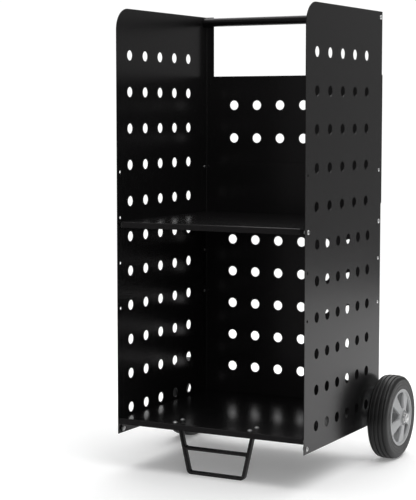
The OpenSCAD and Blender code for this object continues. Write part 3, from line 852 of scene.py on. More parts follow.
def flat_back_mesh(sizes, holes):
    """The upper back: a flat sheet behind the folded edges of the sides."""
    half, height, nose = UPPER_HIGH.x, UPPER_HIGH.z - UPPER_LOW.z, 0.003
    outline = both_sides(arc((half - nose, nose), nose, -90, 0, 4)
                         + arc((half - nose, height - nose), nose, 0, 90, 4))
    rows = spaced(UPPER_BACK_ROW_IN, height - UPPER_BACK_ROW_IN, 3)
    cuts = hole_field(spaced(-BACK_REACH, BACK_REACH, holes.back_cols), rows, holes.large)
    across = half - sizes.returned / 2
    for z in upper_rivet_heights():
        cuts += [(side * across, z - UPPER_LOW.z, holes.rivet) for side in (-1, 1)]
    place = back_place(UPPER_HIGH.y, UPPER_LOW.z)
    return thickened(blank(outline, cuts), sizes.sheet, sizes.edge, place)


class CART_OT_sides(bpy.types.Operator):
    """Makes the two perforated sides, each folded from one blank"""

    bl_idname = "cart.sides"
    bl_label = "Side panels"

    def execute(self, context):
        sizes, holes = context.scene.cart_sheet, context.scene.cart_holes
        right = side_holes(holes, holes.right_cols, RIGHT_LOW_COLUMNS_IN, (-2, -1, 1))
        left = side_holes(holes, holes.side_cols, COLUMNS_IN, (-2, -1, 0, 1))
        for name, cuts, hand in (("right", right, 1), ("left", left, -1)):
            add_piece(name + "_side_sheet", side_mesh(sizes, holes, cuts, hand), "black_steel",
                      "cabinet", "side_panel_" + name)
        return {"FINISHED"}


class CART_OT_backs(bpy.types.Operator):
    """Makes the folded lower back and the flat upper back"""

    bl_idname = "cart.backs"
    bl_label = "Back panels"

    def execute(self, context):
        sizes, holes = context.scene.cart_sheet, context.scene.cart_holes
        add_piece("lower_back_pan", pan_mesh(sizes, holes), "black_steel", "cabinet",
                  "lower_back_panel")
        add_piece("upper_back_sheet", flat_back_mesh(sizes, holes), "black_steel", "cabinet",
                  "upper_back_panel")
        return {"FINISHED"}


def plate_screws():
    """Where the foot plates' four screws stand: (x, y)."""
    half = bpy.context.scene.cart_stand.top_w / 2
    return [(side * half, STAND_Y + step) for side in (-1, 1) for step in PLATE_STEPS]


class CART_OT_shelves(bpy.types.Operator):
    """Makes the two pressed shelves"""

    bl_idname = "cart.shelves"
    bl_label = "Shelves"

    def execute(self, context):
        sizes, holes = context.scene.cart_sheet, context.scene.cart_holes
        low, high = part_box("mid_shelf")
        flange = [(FRONT + FRONT_IN, MID_DROP, holes.screw), (REAR - REAR_IN, MID_DROP, holes.screw)]
        tray = tray_mesh(sizes, low, high, sizes.mid_side, flange, [])
        add_piece("mid_shelf_tray", tray, "black_steel", "cabinet", "mid_shelf")
        low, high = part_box("bottom_shelf")
        flange = [(FRONT + FRONT_IN, FLOOR_TOP - FOOT - LOW_RISE, holes.screw),
                  (AXLE.y, FLOOR_TOP - AXLE.z, AXLE_WIDE)]
        middle = (low.y + high.y) / 2
        face = [(x, y - middle, holes.screw) for x, y in plate_screws()]
        tray = tray_mesh(sizes, low, high, high.z - low.z, flange, face, full_front=True)
        add_piece("bottom_shelf_tray", tray, "black_steel", "cabinet", "bottom_shelf")
        return {"FINISHED"}


# ---------- handle and stand ----------

class CART_OT_handle(bpy.types.Operator):
    """Makes the handle tube and its end plugs"""

    bl_idname = "cart.handle"
    bl_label = "Handle"

    def execute(self, context):
        radius, span = (HANDLE_HIGH.z - HANDLE_LOW.z) / 2, HANDLE_HIGH.x - HANDLE_LOW.x
        inner, chamfer = radius - context.scene.cart_sheet.sheet, 0.0004
        rings = [(0, inner), (0, radius - chamfer), (chamfer, radius)]
        rings += [(x, radius) for x in spaced(span * 0.05, span * 0.95, 10)]
        rings += [(span - chamfer, radius), (span, radius - chamfer), (span, inner)]
        rings += [(x, inner) for x in spaced(span * 0.95, span * 0.05, 10)]
        place = facing((HANDLE_LOW.x, HANDLE.y, HANDLE.z), (1, 0, 0))
        add_piece("handle", moved(turned(closed(rings), 64), place), "black_steel", "cabinet",
                  "handle_tube")
        ends, soft, long = [], 0.0005, 0.022
        for side in (-1, 1):
            rings = [(0, 0), (0, inner - soft), (soft, inner), (long - soft, inner),
                     (long, inner - soft), (long, 0)]
            ends.append(moved(turned(rings, 48),
                              facing((side * HANDLE_HIGH.x, HANDLE.y, HANDLE.z), (-side, 0, 0))))
        add_piece("handle_plugs", joined(ends), "zinc", "cabinet", "handle_end_plugs")
        return {"FINISHED"}


def bar_section(thick, deep, corner):
    """A flat bar's section with rounded corners, its depth along Y."""
    h, d = thick / 2 - corner, deep / 2 - corner
    return [p for k, c in enumerate(((h, d), (-h, d), (-h, -d), (h, -d)))
            for p in arc(c, corner, 90 * k, 90 * k + 90, 4)]


def swept(path, section, level=None):
    """A bar of one section along a path in the XZ plane, its ends cut level where asked."""
    bm = bmesh.new()
    loops = []
    for k, p in enumerate(path):
        before, after = path[max(k - 1, 0)], path[min(k + 1, len(path) - 1)]
        along = (Vector(after) - Vector(before)).normalized()
        out = Vector((along.y, -along.x))
        loop = []
        for a, b in section:
            q = Vector(p) + out * a
            if level and k in (0, len(path) - 1):
                q += along * ((level - q.y) / along.y)
            loop.append(bm.verts.new((q.x, b, q.y)))
        loops.append(loop)
    count = len(section)
    for low, high in zip(loops, loops[1:]):
        for k in range(count):
            n = (k + 1) % count
            bm.faces.new((low[k], low[n], high[n], high[k]))
    bm.faces.new(loops[0])
    bm.faces.new(loops[-1])
    bmesh.ops.recalc_face_normals(bm, faces=bm.faces)
    return smoothed(as_mesh(bm, "swept"))


def bead_tree():
    """A path of edges in, a row of weld ripples along it out."""
    g = ShapeTree("weld_bead", {"Path": "Geometry", "Ripple radius": "Float"})
    radius = g.given["Ripple radius"]
    line = g.add("GeometryNodeMeshToCurve", {}, {0: g.given["Path"]})
    steps = g.add("GeometryNodeResampleCurve", {"mode": "LENGTH"}, {
        "Curve": line, "Length": radius * 0.7})
    ripple = g.add("GeometryNodeMeshUVSphere", {}, {"Segments": 12, "Rings": 8, "Radius": radius})
    return g.ended(g.placed(steps, ripple, Scale=g.chance(0.88, 1.08, 7)))


def beads(paths, radius):
    """Weld beads along open paths of points."""
    mesh = bpy.data.meshes.new("paths")
    points, edges = [], []
    for path in paths:
        edges += [(len(points) + k, len(points) + k + 1) for k in range(len(path) - 1)]
        points += path
    mesh.from_pydata(points, edges, [])
    tree = bpy.data.node_groups.get("weld_bead") or bead_tree()
    return run_tree(tree, mesh, **{"Ripple radius": radius, "Finish": finish("black_steel")})


def stand_mesh(sizes):
    """The bent bow, its cross bar and the welds, as one."""
    top, half, proud, weld_down = PLATES_LOW.z, BAR / 2, 0.0002, 0.0006
    tilt = math.atan((sizes.top_w - sizes.foot_w) / 2 / (top - half))
    mid = sizes.bend + half
    bend_x = sizes.foot_w / 2 - mid * math.tan((math.pi / 2 - tilt) / 2)
    corner = arc((bend_x, half + mid), mid, -90, -math.degrees(tilt), 12)
    right = corner + [(sizes.top_w / 2, top)]
    path = [(-x, z) for x, z in reversed(right)] + right
    section = bar_section(BAR, sizes.deep, sizes.corner)
    middle = BOW_LOW.y + sizes.deep / 2
    place = Matrix.Translation((0, middle, 0))
    bow = moved(swept(path, section, top), place)

    def leg(z):
        """Middle of the right leg at a height."""
        return sizes.foot_w / 2 + (z - half) * math.tan(tilt)

    cross_low, cross_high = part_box("stand_crossbar")
    cross_z = (cross_low.z + cross_high.z) / 2
    inside = leg(cross_z) - half / math.cos(tilt)
    cross = moved(swept([(-inside, cross_z), (inside, cross_z)], section), place)
    welds, foot = [], top - weld_down
    for side in (-1, 1):
        for way in (-1, 1):
            y = middle + way * (sizes.deep / 2 + proud)
            welds.append([(side * inside, y, cross_z - half), (side * inside, y, cross_z + half)])
            welds.append([(side * (leg(top) - half), y, foot), (side * (leg(top) + half), y, foot)])
    return joined([bow, cross, beads(welds, sizes.bead)])


def foot_plates_mesh(top_w, screw, edge):
    """The two plates that the stand's legs are welded to."""
    nose, thick = 0.004, PLATES_HIGH.z - PLATES_LOW.z
    half_x, half_y = PLATES_HIGH.x - top_w / 2, (PLATES_HIGH.y - PLATES_LOW.y) / 2
    quarter = arc((half_x - nose, half_y - nose), nose, 0, 90, 6)
    outline = both_sides(quarter) + both_sides([(-x, -y) for x, y in quarter])
    cuts = [(0, step, screw) for step in PLATE_STEPS]
    places = [Matrix.Translation((side * top_w / 2, STAND_Y, PLATES_HIGH.z)) for side in (-1, 1)]
    return joined([thickened(blank(outline, cuts), thick, edge, place) for place in places])


class CART_OT_stand(bpy.types.Operator):
    """Makes the bent bar stand with its cross bar, foot plates and welds"""

    bl_idname = "cart.stand"
    bl_label = "Front stand"

    def execute(self, context):
        scene, sizes = context.scene, context.scene.cart_stand
        add_piece("stand", stand_mesh(sizes), "black_steel", "cabinet", "stand_bow",
                  "stand_crossbar")
        plates = foot_plates_mesh(sizes.top_w, scene.cart_holes.screw, scene.cart_sheet.edge)
        add_piece("stand_foot_plates", plates, "black_steel", "cabinet", "stand_plates")
        return {"FINISHED"}


# ---------- fasteners ----------

def fastener_tree():
    """Marked points in, one fastener at each out, turned by chance about its own axis."""
    g = ShapeTree("fasteners", {"Places": "Geometry", "Fastener": "Object", "Seed": "Int"})
    turn = g.turn(g.attribute("heading", "FLOAT_VECTOR"))
    row = g.placed(g.given["Places"], g.model("Fastener"), Rotation=turn)
    spin = g.about_z(g.chance(0.0, TAU, g.given["Seed"]))
    return g.ended(g.add("GeometryNodeRotateInstances", {}, {
        "Instances": row, "Rotation": spin, "Local Space": True}))


def fastened(shape, places, slot, seed):
    """One mesh of a fastener at each (point, outward direction)."""
    mesh = bpy.data.meshes.new("places")
    mesh.from_pydata([p for p, _ in places], [], [])
    heading = mesh.attributes.new("heading", "FLOAT_VECTOR", "POINT")
    turns = [Vector((0, 0, 1)).rotation_difference(Vector(way)).to_euler() for _, way in places]
    heading.data.foreach_set("vector", [angle for turn in turns for angle in turn])
    model = linked("helper", shape)
    tree = bpy.data.node_groups.get("fasteners") or fastener_tree()
    made = run_tree(tree, mesh, Fastener=model, Seed=seed, Finish=finish(slot))
    bpy.data.objects.remove(model)
    return smoothed(made)


def add_set(name, node, shape, places, seed, slot="zinc"):
    """Adds a set of like fasteners to the cabinet."""
    add_piece(name, fastened(shape, places, slot, seed), slot, "cabinet", node)


def dome(head, high, levels):
    """Rings of a round head at these levels; head is its radius and high its height."""
    ball = (head ** 2 + high ** 2) / (2 * high)
    return [(z, math.sqrt(ball ** 2 - (z - (high - ball)) ** 2)) for z in levels]


def button_screw(reach):
    """M6 button head screw along +Z: head above 0, threaded shank below."""
    head, high, soft, blunt, plain = 0.0055, 0.0033, 0.0003, 0.0006, 0.0012
    key, socket_mouth, socket_deep = 0.004, 0.00265, 0.0021
    crest, root, pitch = SCREW_R - 0.00005, SCREW_R - 0.0004, 0.001
    rings = [(-reach, 0), (-reach, SCREW_R - blunt), (-reach + blunt, crest)]
    for k in range(int((reach - plain) / pitch)):
        foot = -reach + 0.0007 + k * pitch
        rings += [(foot + pitch * 0.3, root), (foot + pitch * 0.7, crest)]
    rings += [(-0.0002, crest), (0, SCREW_R), (0, head - soft), (soft, head)]
    rings += dome(head, high, [soft + (high - 2 * soft) * k / 8 for k in range(1, 9)])
    top = high - soft
    rings += [(top, socket_mouth), (top - 0.00015, hexagon(key)),
              (top - socket_deep, hexagon(key)), (top - socket_deep - 0.0002, 0)]
    return turned(rings, 48, "button_screw")


def nut_end(across):
    """Rings of a nut's chamfered end, from its face up to where its corners are whole."""
    start, slope, steps = across / 2 * 0.985, 1.7, 5
    reach = (across / math.sqrt(3) - start) / slope
    return [(reach * k / steps, hexagon(across, start + slope * reach * k / steps))
            for k in range(steps + 1)]


def hex_nut(across, high, bore):
    """Hexagon nut standing on 0, chamfered at both ends, with a threaded bore."""
    low, mouth, pitch = nut_end(across), 0.0004, 0.001
    rings = [(0, bore + mouth)] + low + [(high - z, r) for z, r in reversed(low)]
    rings.append((high, bore + mouth))
    turns = max(4, int(high / pitch))
    for k in range(turns):
        z = high - mouth - (high - 2 * mouth) * k / (turns - 1)
        rings.append((z, bore + (0.00002 if k % 2 else 0.0003)))
    return turned(closed(rings), 72, "hex_nut")


def rivet(grip):
    """Set blind rivet along +Z: domed head above 0, body and flared tail below."""
    body, head, high, tail, pin = 0.0024, 0.0045, 0.0016, 0.0022, 0.0013
    crown = high * 0.95
    rings = [(-grip - tail, 0), (-grip - tail, body * 0.7), (-grip - 0.0016, body + 0.0003),
             (-grip - 0.0006, body + 0.0007), (-grip, body + 0.0006), (-grip, body), (0, body),
             (0, head - 0.0002)]
    rings += dome(head, high, [crown * k / 7 for k in range(1, 8)])
    rings += [(crown, pin), (high * 0.55, pin - 0.0002), (high * 0.5, 0)]
    return turned(rings, 36, "rivet")


def collar(inner, outer, long, sides, name):
    """A plain ring standing on 0, with small chamfers."""
    edge = 0.0003
    rings = [(edge, inner), (0, inner + edge), (0, outer - edge), (edge, outer),
             (long - edge, outer), (long, outer - edge), (long, inner + edge), (long - edge, inner)]
    return turned(closed(rings), sides, name)


def cap_nut(across, hexagon_high, high):
    """Domed nut standing on 0."""
    low, wide, steps = nut_end(across), across / 2 - 0.0004, 12
    rings = [(0, 0)] + low + [(hexagon_high - z, r) for z, r in reversed(low)]
    rings += [(hexagon_high, wide + 0.0001), (hexagon_high + 0.0002, wide - 0.0006)]
    foot, rise = wide - 0.0007, high - hexagon_high - 0.0003
    for k in range(1, steps + 1):
        a = math.pi / 2 * k / steps
        radius = foot * math.cos(a) if k < steps else 0
        rings.append((hexagon_high + 0.0003 + rise * math.sin(a), radius))
    return turned(rings, 72, "cap_nut")


class CART_OT_fasteners(bpy.types.Operator):
    """Makes every screw, nut and rivet of the cabinet"""

    bl_idname = "cart.fasteners"
    bl_label = "Screws, nuts and rivets"

    def execute(self, context):
        sizes, pitch = context.scene.cart_sheet, context.scene.cart_holes.edge_pitch
        grip = 2 * sizes.sheet
        nut_x = OUTER_X - grip
        mid = [(FRONT + FRONT_IN, MID_TOP - MID_DROP), (REAR - REAR_IN, MID_TOP - MID_DROP)]
        low = [(FRONT + FRONT_IN, FOOT + LOW_RISE)]
        reach = grip + NUT_HIGH + NUT_PAST
        for name, spots, seed in (("mid_shelf", mid, 3), ("bottom_shelf", low, 5)):
            outside = both_ways([(OUTER_X, y, z) for y, z in spots])
            inside = [((x / OUTER_X * nut_x, y, z), (-way[0], 0, 0)) for (x, y, z), way in outside]
            add_set(name + "_screw_set", name + "_bolts", button_screw(reach), outside, seed)
            add_set(name + "_nut_set", name + "_nuts", hex_nut(NUT_WIDE, NUT_HIGH, SCREW_R), inside,
                    seed + 1)
        ends, in_plug = both_ways([(OUTER_X, HANDLE.y, HANDLE.z)]), 0.017
        add_set("handle_screw_set", "handle_screws", button_screw(sizes.sheet + in_plug), ends, 9)
        sides = both_ways([(OUTER_X, REAR - RIVET_IN, MID_TOP + SPARE_RISE + k * pitch)
                           for k in RIVET_STEPS])
        add_set("lower_back_rivet_set", "lower_back_rivets", rivet(grip), sides, 11)
        across = UPPER_HIGH.x - sizes.returned / 2
        rear = [((side * across, UPPER_HIGH.y, z), (0, 1, 0))
                for side in (-1, 1) for z in upper_rivet_heights()]
        add_set("upper_back_rivet_set", "upper_back_rivets", rivet(grip), rear, 13, "black_steel")
        heads = [((x, y, FLOOR_TOP), (0, 0, 1)) for x, y in plate_screws()]
        reach = FLOOR_TOP - PLATES_LOW.z + NUT_HIGH + NUT_PAST
        add_set("stand_screw_set", "stand_bolts", button_screw(reach), heads, 15)
        under = [((x, y, PLATES_LOW.z), (0, 0, -1)) for x, y in plate_screws()]
        add_set("stand_nut_set", "stand_nuts", hex_nut(NUT_WIDE, NUT_HIGH, SCREW_R), under, 17)
        return {"FINISHED"}


class CART_OT_axle(bpy.types.Operator):
    """Makes the axle with its nuts, washers, domed ends and hub bushes"""

    bl_idname = "cart.axle"
    bl_label = "Axle"

    def execute(self, context):
        radius, span = AXLE_WIDE / 2, AXLE_HIGH.x - AXLE_LOW.x
        skin, chamfer = radius - 0.00002, 0.0007
        rings = [(0, 0), (0, radius - chamfer), (chamfer, skin)]
        rings += [(x, skin) for x in spaced(span * 0.04, span * 0.96, 24)]
        rings += [(span - chamfer, skin), (span, radius - chamfer), (span, 0)]
        add_piece("axle", moved(turned(rings, 64), on_axle(AXLE_LOW.x)), "bright_steel", "cabinet",
                  "axle_rod")

        def out_at(*xs):
            """Places on the axle at these distances, on both sides of the cart."""
            return both_ways([(x, AXLE.y, AXLE.z) for x in xs])

        nut_wide, cap_hexagon, thick = 0.019, 0.005, 0.0025
        for node, high, seed in (("axle_inner_nuts", 0.010, 21), ("axle_lock_nuts", 0.008, 23)):
            add_set(node + "_set", node, hex_nut(nut_wide, high, radius),
                    out_at(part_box(node)[1].x - high), seed)
        low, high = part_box("axle_washers")
        washer = collar(radius, (high.z - low.z) / 2, thick, 64, "washer")
        add_set("axle_washer_set", "axle_washers", washer,
                out_at(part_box("axle_lock_nuts")[1].x, high.x - thick), 25)
        cap = cap_nut(nut_wide, cap_hexagon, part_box("axle_cap_nuts")[1].x - high.x)
        add_set("axle_cap_set", "axle_cap_nuts", cap, out_at(high.x), 27)
        bush = collar(radius + 0.00005, BUSH_R, HUB_HIGH.x - HUB_LOW.x, 48, "bush")
        add_wheel_pair("hub_bush", moved(bush, on_axle(HUB_LOW.x)), "bush")
        return {"FINISHED"}


# ---------- wheels ----------

def window_edge(w, fillets=(0.0022, 0.0042), steps=(7, 6, 12, 6, 12)):
    """Half of the opening between two spokes: (point, direction into the plastic) from the
    middle of its inner edge, along one spoke, to the middle of its outer edge; and how many
    points lie along each side of the sector round it."""
    half = math.pi / w.spokes
    axis = Vector((math.cos(half), math.sin(half)))
    side = Vector((-axis.y, axis.x))
    flare = (w.tip - w.root) / 2 / (w.window_out - w.window_in)
    along = (axis - side * flare).normalized()
    inward = Vector((along.y, -along.x))
    start = side * -(w.root / 2 - flare * w.window_in)

    def centre(fillet, reach):
        """Middle of a fillet that touches the spoke's side and a circle about the axle."""
        q = start + inward * fillet
        b = q.dot(along)
        return q + along * (math.sqrt(b * b - q.length_squared + reach * reach) - b)

    def bearing(v):
        """Direction of a vector, in degrees."""
        return math.degrees(math.atan2(v.y, v.x))

    inner_c = centre(fillets[0], w.window_in + fillets[0])
    outer_c = centre(fillets[1], w.window_out - fillets[1])
    spoke_way, in_way, out_way = bearing(-inward), bearing(inner_c), bearing(outer_c)
    points = []

    def turn(middle, radius, first, last, count, sign):
        """Adds an arc and its directions."""
        for k in range(count):
            a = math.radians(first + (last - first) * k / count)
            way = Vector((math.cos(a), math.sin(a)))
            points.append((Vector(middle) + way * radius, way * sign))

    turn((0, 0), w.window_in, 0, in_way, steps[0], -1)
    turn(inner_c, fillets[0], 180 + in_way, spoke_way, steps[1], 1)
    low, high = inner_c - inward * fillets[0], outer_c - inward * fillets[1]
    points += [(low.lerp(high, k / steps[2]), -inward) for k in range(steps[2])]
    turn(outer_c, fillets[1], spoke_way, out_way, steps[3], 1)
    turn((0, 0), w.window_out, out_way, 0, steps[4], 1)
    points.append((Vector((w.window_out, 0)), Vector((1, 0))))
    corners = (steps[0] + steps[1] // 2, steps[1] - steps[1] // 2 + steps[2] + steps[3] // 2,
               steps[3] - steps[3] // 2 + steps[4])
    return points, corners


def cove(gap, radius):
    """Height of an inside round at a distance from a wall."""
    gap = max(gap, 0.0)
    return radius - math.sqrt(radius ** 2 - (radius - gap) ** 2) if gap < radius else 0.0


def sector_mesh(w):
    """One opening and half of the spoke on each side of it, dished, with rounded edges."""
    points, counts = window_edge(w)
    half, bite, seam = math.pi / w.spokes, 0.001, 1e-6
    near, far = w.hub - bite, w.drum + bite
    rim = [(near, half * k / counts[0]) for k in range(counts[0])]
    rim += [(near + (far - near) * k / counts[1], half) for k in range(counts[1])]
    rim += [(far, half * (1 - k / counts[2])) for k in range(counts[2] + 1)]
    arcs = [r in (near, far) for r, _ in rim]
    root_thick, tip_thick = 0.0072, 0.0058
    drum_cove, hub_cove, back_cove = 0.0012, 0.0010, 0.002
    root_z, tip_z = HUB_HIGH.x - WHEEL_X - w.raised, TYRE_HALF - w.sink
    back_root, back_tip = root_z - root_thick, tip_z - tip_thick

    def front(r):
        """Height of the front face at a radius."""
        share = (r - w.hub) / (w.drum - w.hub)
        z = root_z + (tip_z - root_z) * share
        return z + cove(w.drum - r, drum_cove) + cove(r - w.hub, hub_cove)

    def back(r):
        """Height of the rear face at a radius."""
        share = (r - w.hub) / (w.drum - w.hub)
        return back_root + (back_tip - back_root) * share - cove(w.drum - r, back_cove)

    def ring(offset, share, level, drop):
        """Points round the opening, share of the way from the sector's edge to the opening."""
        loop = []
        for (r_edge, a_edge), (spot, way) in zip(rim, points):
            inner = spot + way * offset
            r_in, a_in = inner.length, math.atan2(inner.y, inner.x)
            r = r_edge + (r_in - r_edge) * share
            a = a_edge + (a_in - a_edge) * share
            loop.append((r * math.cos(a), r * math.sin(a), level(r) + drop))
        return loop

    def rounded(a, level, sign):
        """A ring on the round edge of the opening, at an angle round it."""
        return ring(round_r * (1 - math.sin(a)), 1, level, sign * round_r * (1 - math.cos(a)))

    round_r, ease = 0.0012, 5
    shares = (0, 0.06, 0.14, 0.25, 0.4, 0.55, 0.7, 0.85, 1)
    turns = [math.pi / 2 * k / ease for k in range(1, ease + 1)]
    loops = [ring(round_r, s, front, 0) for s in shares] + [rounded(a, front, -1) for a in turns]
    loops += [rounded(a, back, 1) for a in reversed(turns)]
    loops += [ring(round_r, s, back, 0) for s in reversed(shares)]
    bm = bmesh.new()
    for sign in (1, -1):
        rows = [[bm.verts.new((x, sign * y, z)) for x, y, z in loop] for loop in loops]
        for low, high in zip(rows, rows[1:]):
            for k in range(len(low) - 1):
                bm.faces.new((low[k], low[k + 1], high[k + 1], high[k]))
        for k in range(len(arcs) - 1):
            if arcs[k] and arcs[k + 1]:
                bm.faces.new((rows[-1][k], rows[-1][k + 1], rows[0][k + 1], rows[0][k]))
    bmesh.ops.remove_doubles(bm, verts=bm.verts, dist=seam)
    bmesh.ops.recalc_face_normals(bm, faces=bm.faces)
    return as_mesh(bm, "sector")


def wheel_tree():
    """One sector in, a ring of them joined to the turned drum and hub out."""
    g = ShapeTree("spoked_rim", {"Sector": "Geometry", "Spokes": "Int", "Turned parts": "Object"})
    spokes = g.given["Spokes"]
    centre = g.add("GeometryNodeMeshLine", {"mode": "OFFSET"}, {
        "Count": spokes, "Offset": (0, 0, 0)})
    index = g.add("GeometryNodeInputIndex", {}, {})
    turn = g.about_z(index * TAU / spokes)
    ring = g.real(g.placed(centre, g.given["Sector"], Rotation=turn))
    whole = g.add("GeometryNodeMergeByDistance", {}, {"Geometry": ring, "Distance": 2e-6})
    return g.ended(g.together(whole, g.model("Turned parts")))


def drum_mesh(w):
    """The rim's drum with a lip at each side of the tyre."""
    proud, step, edge = 0.0008, 0.0018, 0.0005
    high = TYRE_HALF + proud
    side = [(high - edge, w.drum), (high, w.drum + edge), (high, w.lip - edge),
            (high - edge, w.lip), (high - step + edge, w.lip), (high - step, w.lip - edge),
            (high - step, w.seat)]
    return turned(closed(side + [(-z, r) for z, r in reversed(side)]), 160, "drum")


def hub_mesh(w):
    """The hub: a long barrel and a raised face with an annular groove."""
    face, back = HUB_HIGH.x - WHEEL_X, HUB_LOW.x - WHEEL_X
    wall, edge, soft, fillet = 0.003, 0.0006, 0.0004, 0.001
    disc_deep, groove_deep, groove_out, groove_in = 0.009, 0.003, 0.0180, 0.0134
    barrel, low, groove = BUSH_R + wall, face - disc_deep, face - groove_deep
    corners = [(back, BUSH_R), (back, barrel - edge), (back + edge, barrel), (low - fillet, barrel),
               (low, barrel + fillet), (low, w.hub - edge), (low + edge, w.hub),
               (face - edge, w.hub), (face, w.hub - edge), (face, groove_out),
               (face - soft, groove_out - soft), (groove, groove_out - edge),
               (groove, groove_in + edge), (face - soft, groove_in + soft), (face, groove_in),
               (face, BUSH_R + soft), (face - soft, BUSH_R)]
    return turned(closed(corners), 96, "hub")


class CART_OT_rims(bpy.types.Operator):
    """Makes the two dished, spoked rims"""

    bl_idname = "cart.rims"
    bl_label = "Rims"

    def execute(self, context):
        w = context.scene.cart_wheel
        rest = linked("helper", joined([drum_mesh(w), hub_mesh(w)]))
        tree = bpy.data.node_groups.get("spoked_rim") or wheel_tree()
        made = run_tree(tree, sector_mesh(w), **{
            "Spokes": w.spokes, "Turned parts": rest, "Finish": finish("rim")})
        bpy.data.objects.remove(rest)
        turn = Matrix.Rotation(math.pi / 2 + w.lead + math.pi / w.spokes, 4, "Z")
        add_wheel_pair("rim", moved(smoothed(made), on_axle(WHEEL_X) @ turn), "rim")
        return {"FINISHED"}


WALL_STEPS = (                    # moulded lines on the tyre's wall: depth in from it, radius
    (0.0001, 0.0868), (0.0005, 0.0862), (0.0006, 0.0856), (0.0003, 0.0845), (0.0001, 0.0790),
    (0.0005, 0.0783), (0.0005, 0.0777), (0.0, 0.0770), (0.0, 0.0712), (0.0003, 0.0700))


def tyre_section(w):
    """Half of the tyre's section from its middle outwards, as (distance from middle, radius)."""
    flat, half_groove = TYRE_HALF - w.shoulder, w.groove_w / 2
    hair, lip_in, seat_in = 0.00002, 0.0009, 0.001

    def tread(z):
        """Radius of the ungrooved tread: a slight crown and a round shoulder."""
        crown = TYRE_R - w.crown * (z / flat) ** 2
        if z <= flat:
            return crown
        turn = math.asin(min(1.0, (z - flat) / w.shoulder))
        return TYRE_R - w.crown - w.shoulder * (1 - math.cos(turn))

    points = [(0.0, TYRE_R)]
    for middle in (0.5 * w.groove_pitch, 1.5 * w.groove_pitch):
        low = tread(middle) - w.groove_deep
        for side in (-1, 1):
            edge, bank = middle + side * half_groove, []
            for a in spaced(0, math.pi / 2, 6):
                z = edge + side * w.soft * (1 - math.sin(a))
                bank.append((z, tread(z) - w.soft * (1 - math.cos(a))))
            bank += [(edge - side * 0.0001, low + 0.0003), (edge - side * 0.0004, low)]
            points += bank if side < 0 else list(reversed(bank))
    start = points[-1][0]
    points += [(z, tread(z)) for z in spaced(start, TYRE_HALF - hair, 18)[1:]]
    points += [(TYRE_HALF - inset, radius) for inset, radius in WALL_STEPS]
    return points + [(TYRE_HALF - lip_in, w.lip), (TYRE_HALF - seat_in, w.seat)]


class CART_OT_tyres(bpy.types.Operator):
    """Makes the two grooved rubber tyres"""

    bl_idname = "cart.tyres"
    bl_label = "Tyres"

    def execute(self, context):
        section = tyre_section(context.scene.cart_wheel)
        corners = [(-z, r) for z, r in reversed(section[1:])] + section
        tyre = turned(closed(corners), 192, "tyre")
        add_wheel_pair("tyre", moved(tyre, on_axle(WHEEL_X)), "tyre")
        return {"FINISHED"}


# ---------- stage ----------

FLOOR_SIDES = (-9.0, 8.0)
APRON_FRONT = -1.6
FADE_REACH, FADE_LIFT = 30.0, 0.001
SENSOR = 36.0                     # width of the camera's frame, in millimetres
SOFT_BOXES = (                    # name, place, size and the point it faces
    ("key", (2.6, -1.6, 3.8), 2.6, (0, 0, 0.5)),
    ("top", (0.0, 0.6, 4.6), 6.0, (0, 0, 0.5)),
    ("rear", (-2.0, 5.0, 3.6), 7.0, (-2.0, 3.2, 0)),
    ("front", (2.6, -4.6, 2.2), 2.4, (0, 0, 0.5)),
)


def level_sheet(name, across, along, height, material):
    """A flat sheet between two x and two y, at a height, in this material, linked into the scene."""
    (left, right), (front, rear) = across, along
    mesh = bpy.data.meshes.new(name)
    mesh.from_pydata([(left, front, height), (right, front, height), (right, rear, height),
                      (left, rear, height)], [], [(0, 1, 2, 3)])
    mesh.materials.append(material)
    sheet = linked(name, mesh)
    return sheet


def pointed(thing, place, way):
    """Puts a light or camera somewhere, looking this way."""
    thing.location = place
    thing.rotation_euler = Vector(way).to_track_quat("-Z", "Y").to_euler()


def surround(s):
    """A dim surround that is brighter at the sides, and white where the camera sees it."""
    world = bpy.data.worlds.new("surround")
    world.use_nodes = True
    g = Graph(world.node_tree)
    g.tree.nodes.clear()
    way = g.add("ShaderNodeTexCoord", {}, {}, out="Generated")
    across = g.vector("DOT_PRODUCT", way, (math.cos(s.yaw), math.sin(s.yaw), 0), out="Value")
    seen = g.add("ShaderNodeLightPath", {}, {}, out="Is Camera Ray")
    glow = s.sky + s.sides * (across * across)
    light = glow * (1 - seen) + seen * WHITE_GLOW
    sky = g.add("ShaderNodeBackground", {}, {"Color": (1, 1, 1, 1), "Strength": light})
    g.add("ShaderNodeOutputWorld", {}, {"Surface": sky})
    return world


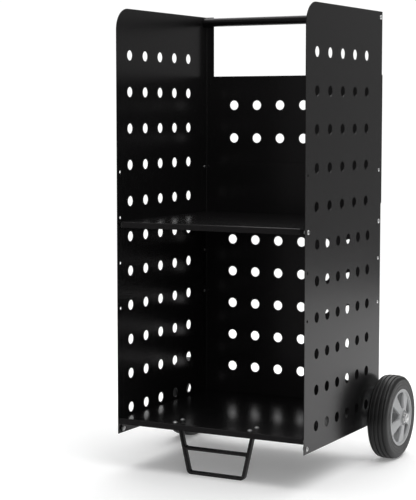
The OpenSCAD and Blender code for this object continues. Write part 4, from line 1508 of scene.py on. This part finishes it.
class CART_OT_stage(bpy.types.Operator):
    """Sets out the pale floor, the soft light and the camera"""

    bl_idname = "cart.stage"
    bl_label = "Stage"

    def execute(self, context):
        scene, s = context.scene, context.scene.cart_stage
        paper = finish("floor")
        level_sheet("studio_floor", FLOOR_SIDES, (s.floor_front, s.floor_rear), 0, paper)
        # the floor nearest the camera lights the cart but isn't mirrored in it
        apron = level_sheet("studio_apron", FLOOR_SIDES, (APRON_FRONT, s.floor_front), 0, paper)
        apron.visible_glossy = False
        # a sheet that only the camera sees turns the far floor white
        reach, white = (-FADE_REACH, FADE_REACH), white_fade("floor_fade", s.fade_from, s.fade_over)
        fade = level_sheet("studio_fade", reach, reach, FADE_LIFT, white)
        fade.visible_diffuse = fade.visible_glossy = False
        fade.visible_transmission = fade.visible_shadow = False
        scene.world = surround(s)
        for name, place, size, target in SOFT_BOXES:
            light = bpy.data.lights.new(name, "AREA")
            light.energy, light.size = getattr(s, name), size
            pointed(linked(name, light), place, Vector(target) - Vector(place))
        camera = linked("camera", bpy.data.cameras.new("camera"))
        camera.data.lens, camera.data.sensor_width = s.lens, SENSOR
        pointed(camera, s.camera, (-math.sin(s.yaw) * math.cos(s.pitch),
                                   math.cos(s.yaw) * math.cos(s.pitch), -math.sin(s.pitch)))
        scene.camera = camera
        scene.view_settings.view_transform = "Standard"
        return {"FINISHED"}


# ---------- the add-on ----------

GROUPS = {
    "cart_sheet": SheetSizes,
    "cart_holes": HoleSizes,
    "cart_stand": StandSizes,
    "cart_wheel": WheelSizes,
    "cart_colours": FinishColours,
    "cart_stage": StageSizes,
}
OPERATORS = (CART_OT_sides, CART_OT_backs, CART_OT_shelves, CART_OT_handle, CART_OT_stand,
             CART_OT_fasteners, CART_OT_axle, CART_OT_rims, CART_OT_tyres, CART_OT_stage)


class VIEW3D_PT_log_cart(bpy.types.Panel):
    """Lists the cart's pieces and their sizes"""

    bl_idname = "VIEW3D_PT_log_cart"
    bl_label = "Fireside log cart"
    bl_space_type = "VIEW_3D"
    bl_region_type = "UI"
    bl_category = "Log Cart"

    def draw(self, context):
        for operator in OPERATORS:
            self.layout.operator(operator.bl_idname)
        for name in GROUPS:
            group = getattr(context.scene, name)
            column = self.layout.column(align=True)
            for key in group.__annotations__:
                column.prop(group, key)


def register():
    for name, group in GROUPS.items():
        bpy.utils.register_class(group)
        setattr(bpy.types.Scene, name, PointerProperty(type=group))
    for operator in OPERATORS:
        bpy.utils.register_class(operator)
    bpy.utils.register_class(VIEW3D_PT_log_cart)


def unregister():
    bpy.utils.unregister_class(VIEW3D_PT_log_cart)
    for operator in reversed(OPERATORS):
        bpy.utils.unregister_class(operator)
    for name, group in reversed(GROUPS.items()):
        delattr(bpy.types.Scene, name)
        bpy.utils.unregister_class(group)


def main():
    """Makes the whole cart on its stage."""
    register()
    for operator in OPERATORS:
        getattr(bpy.ops.cart, operator.bl_idname.removeprefix("cart."))()


if __name__ == "__main__":
    main()
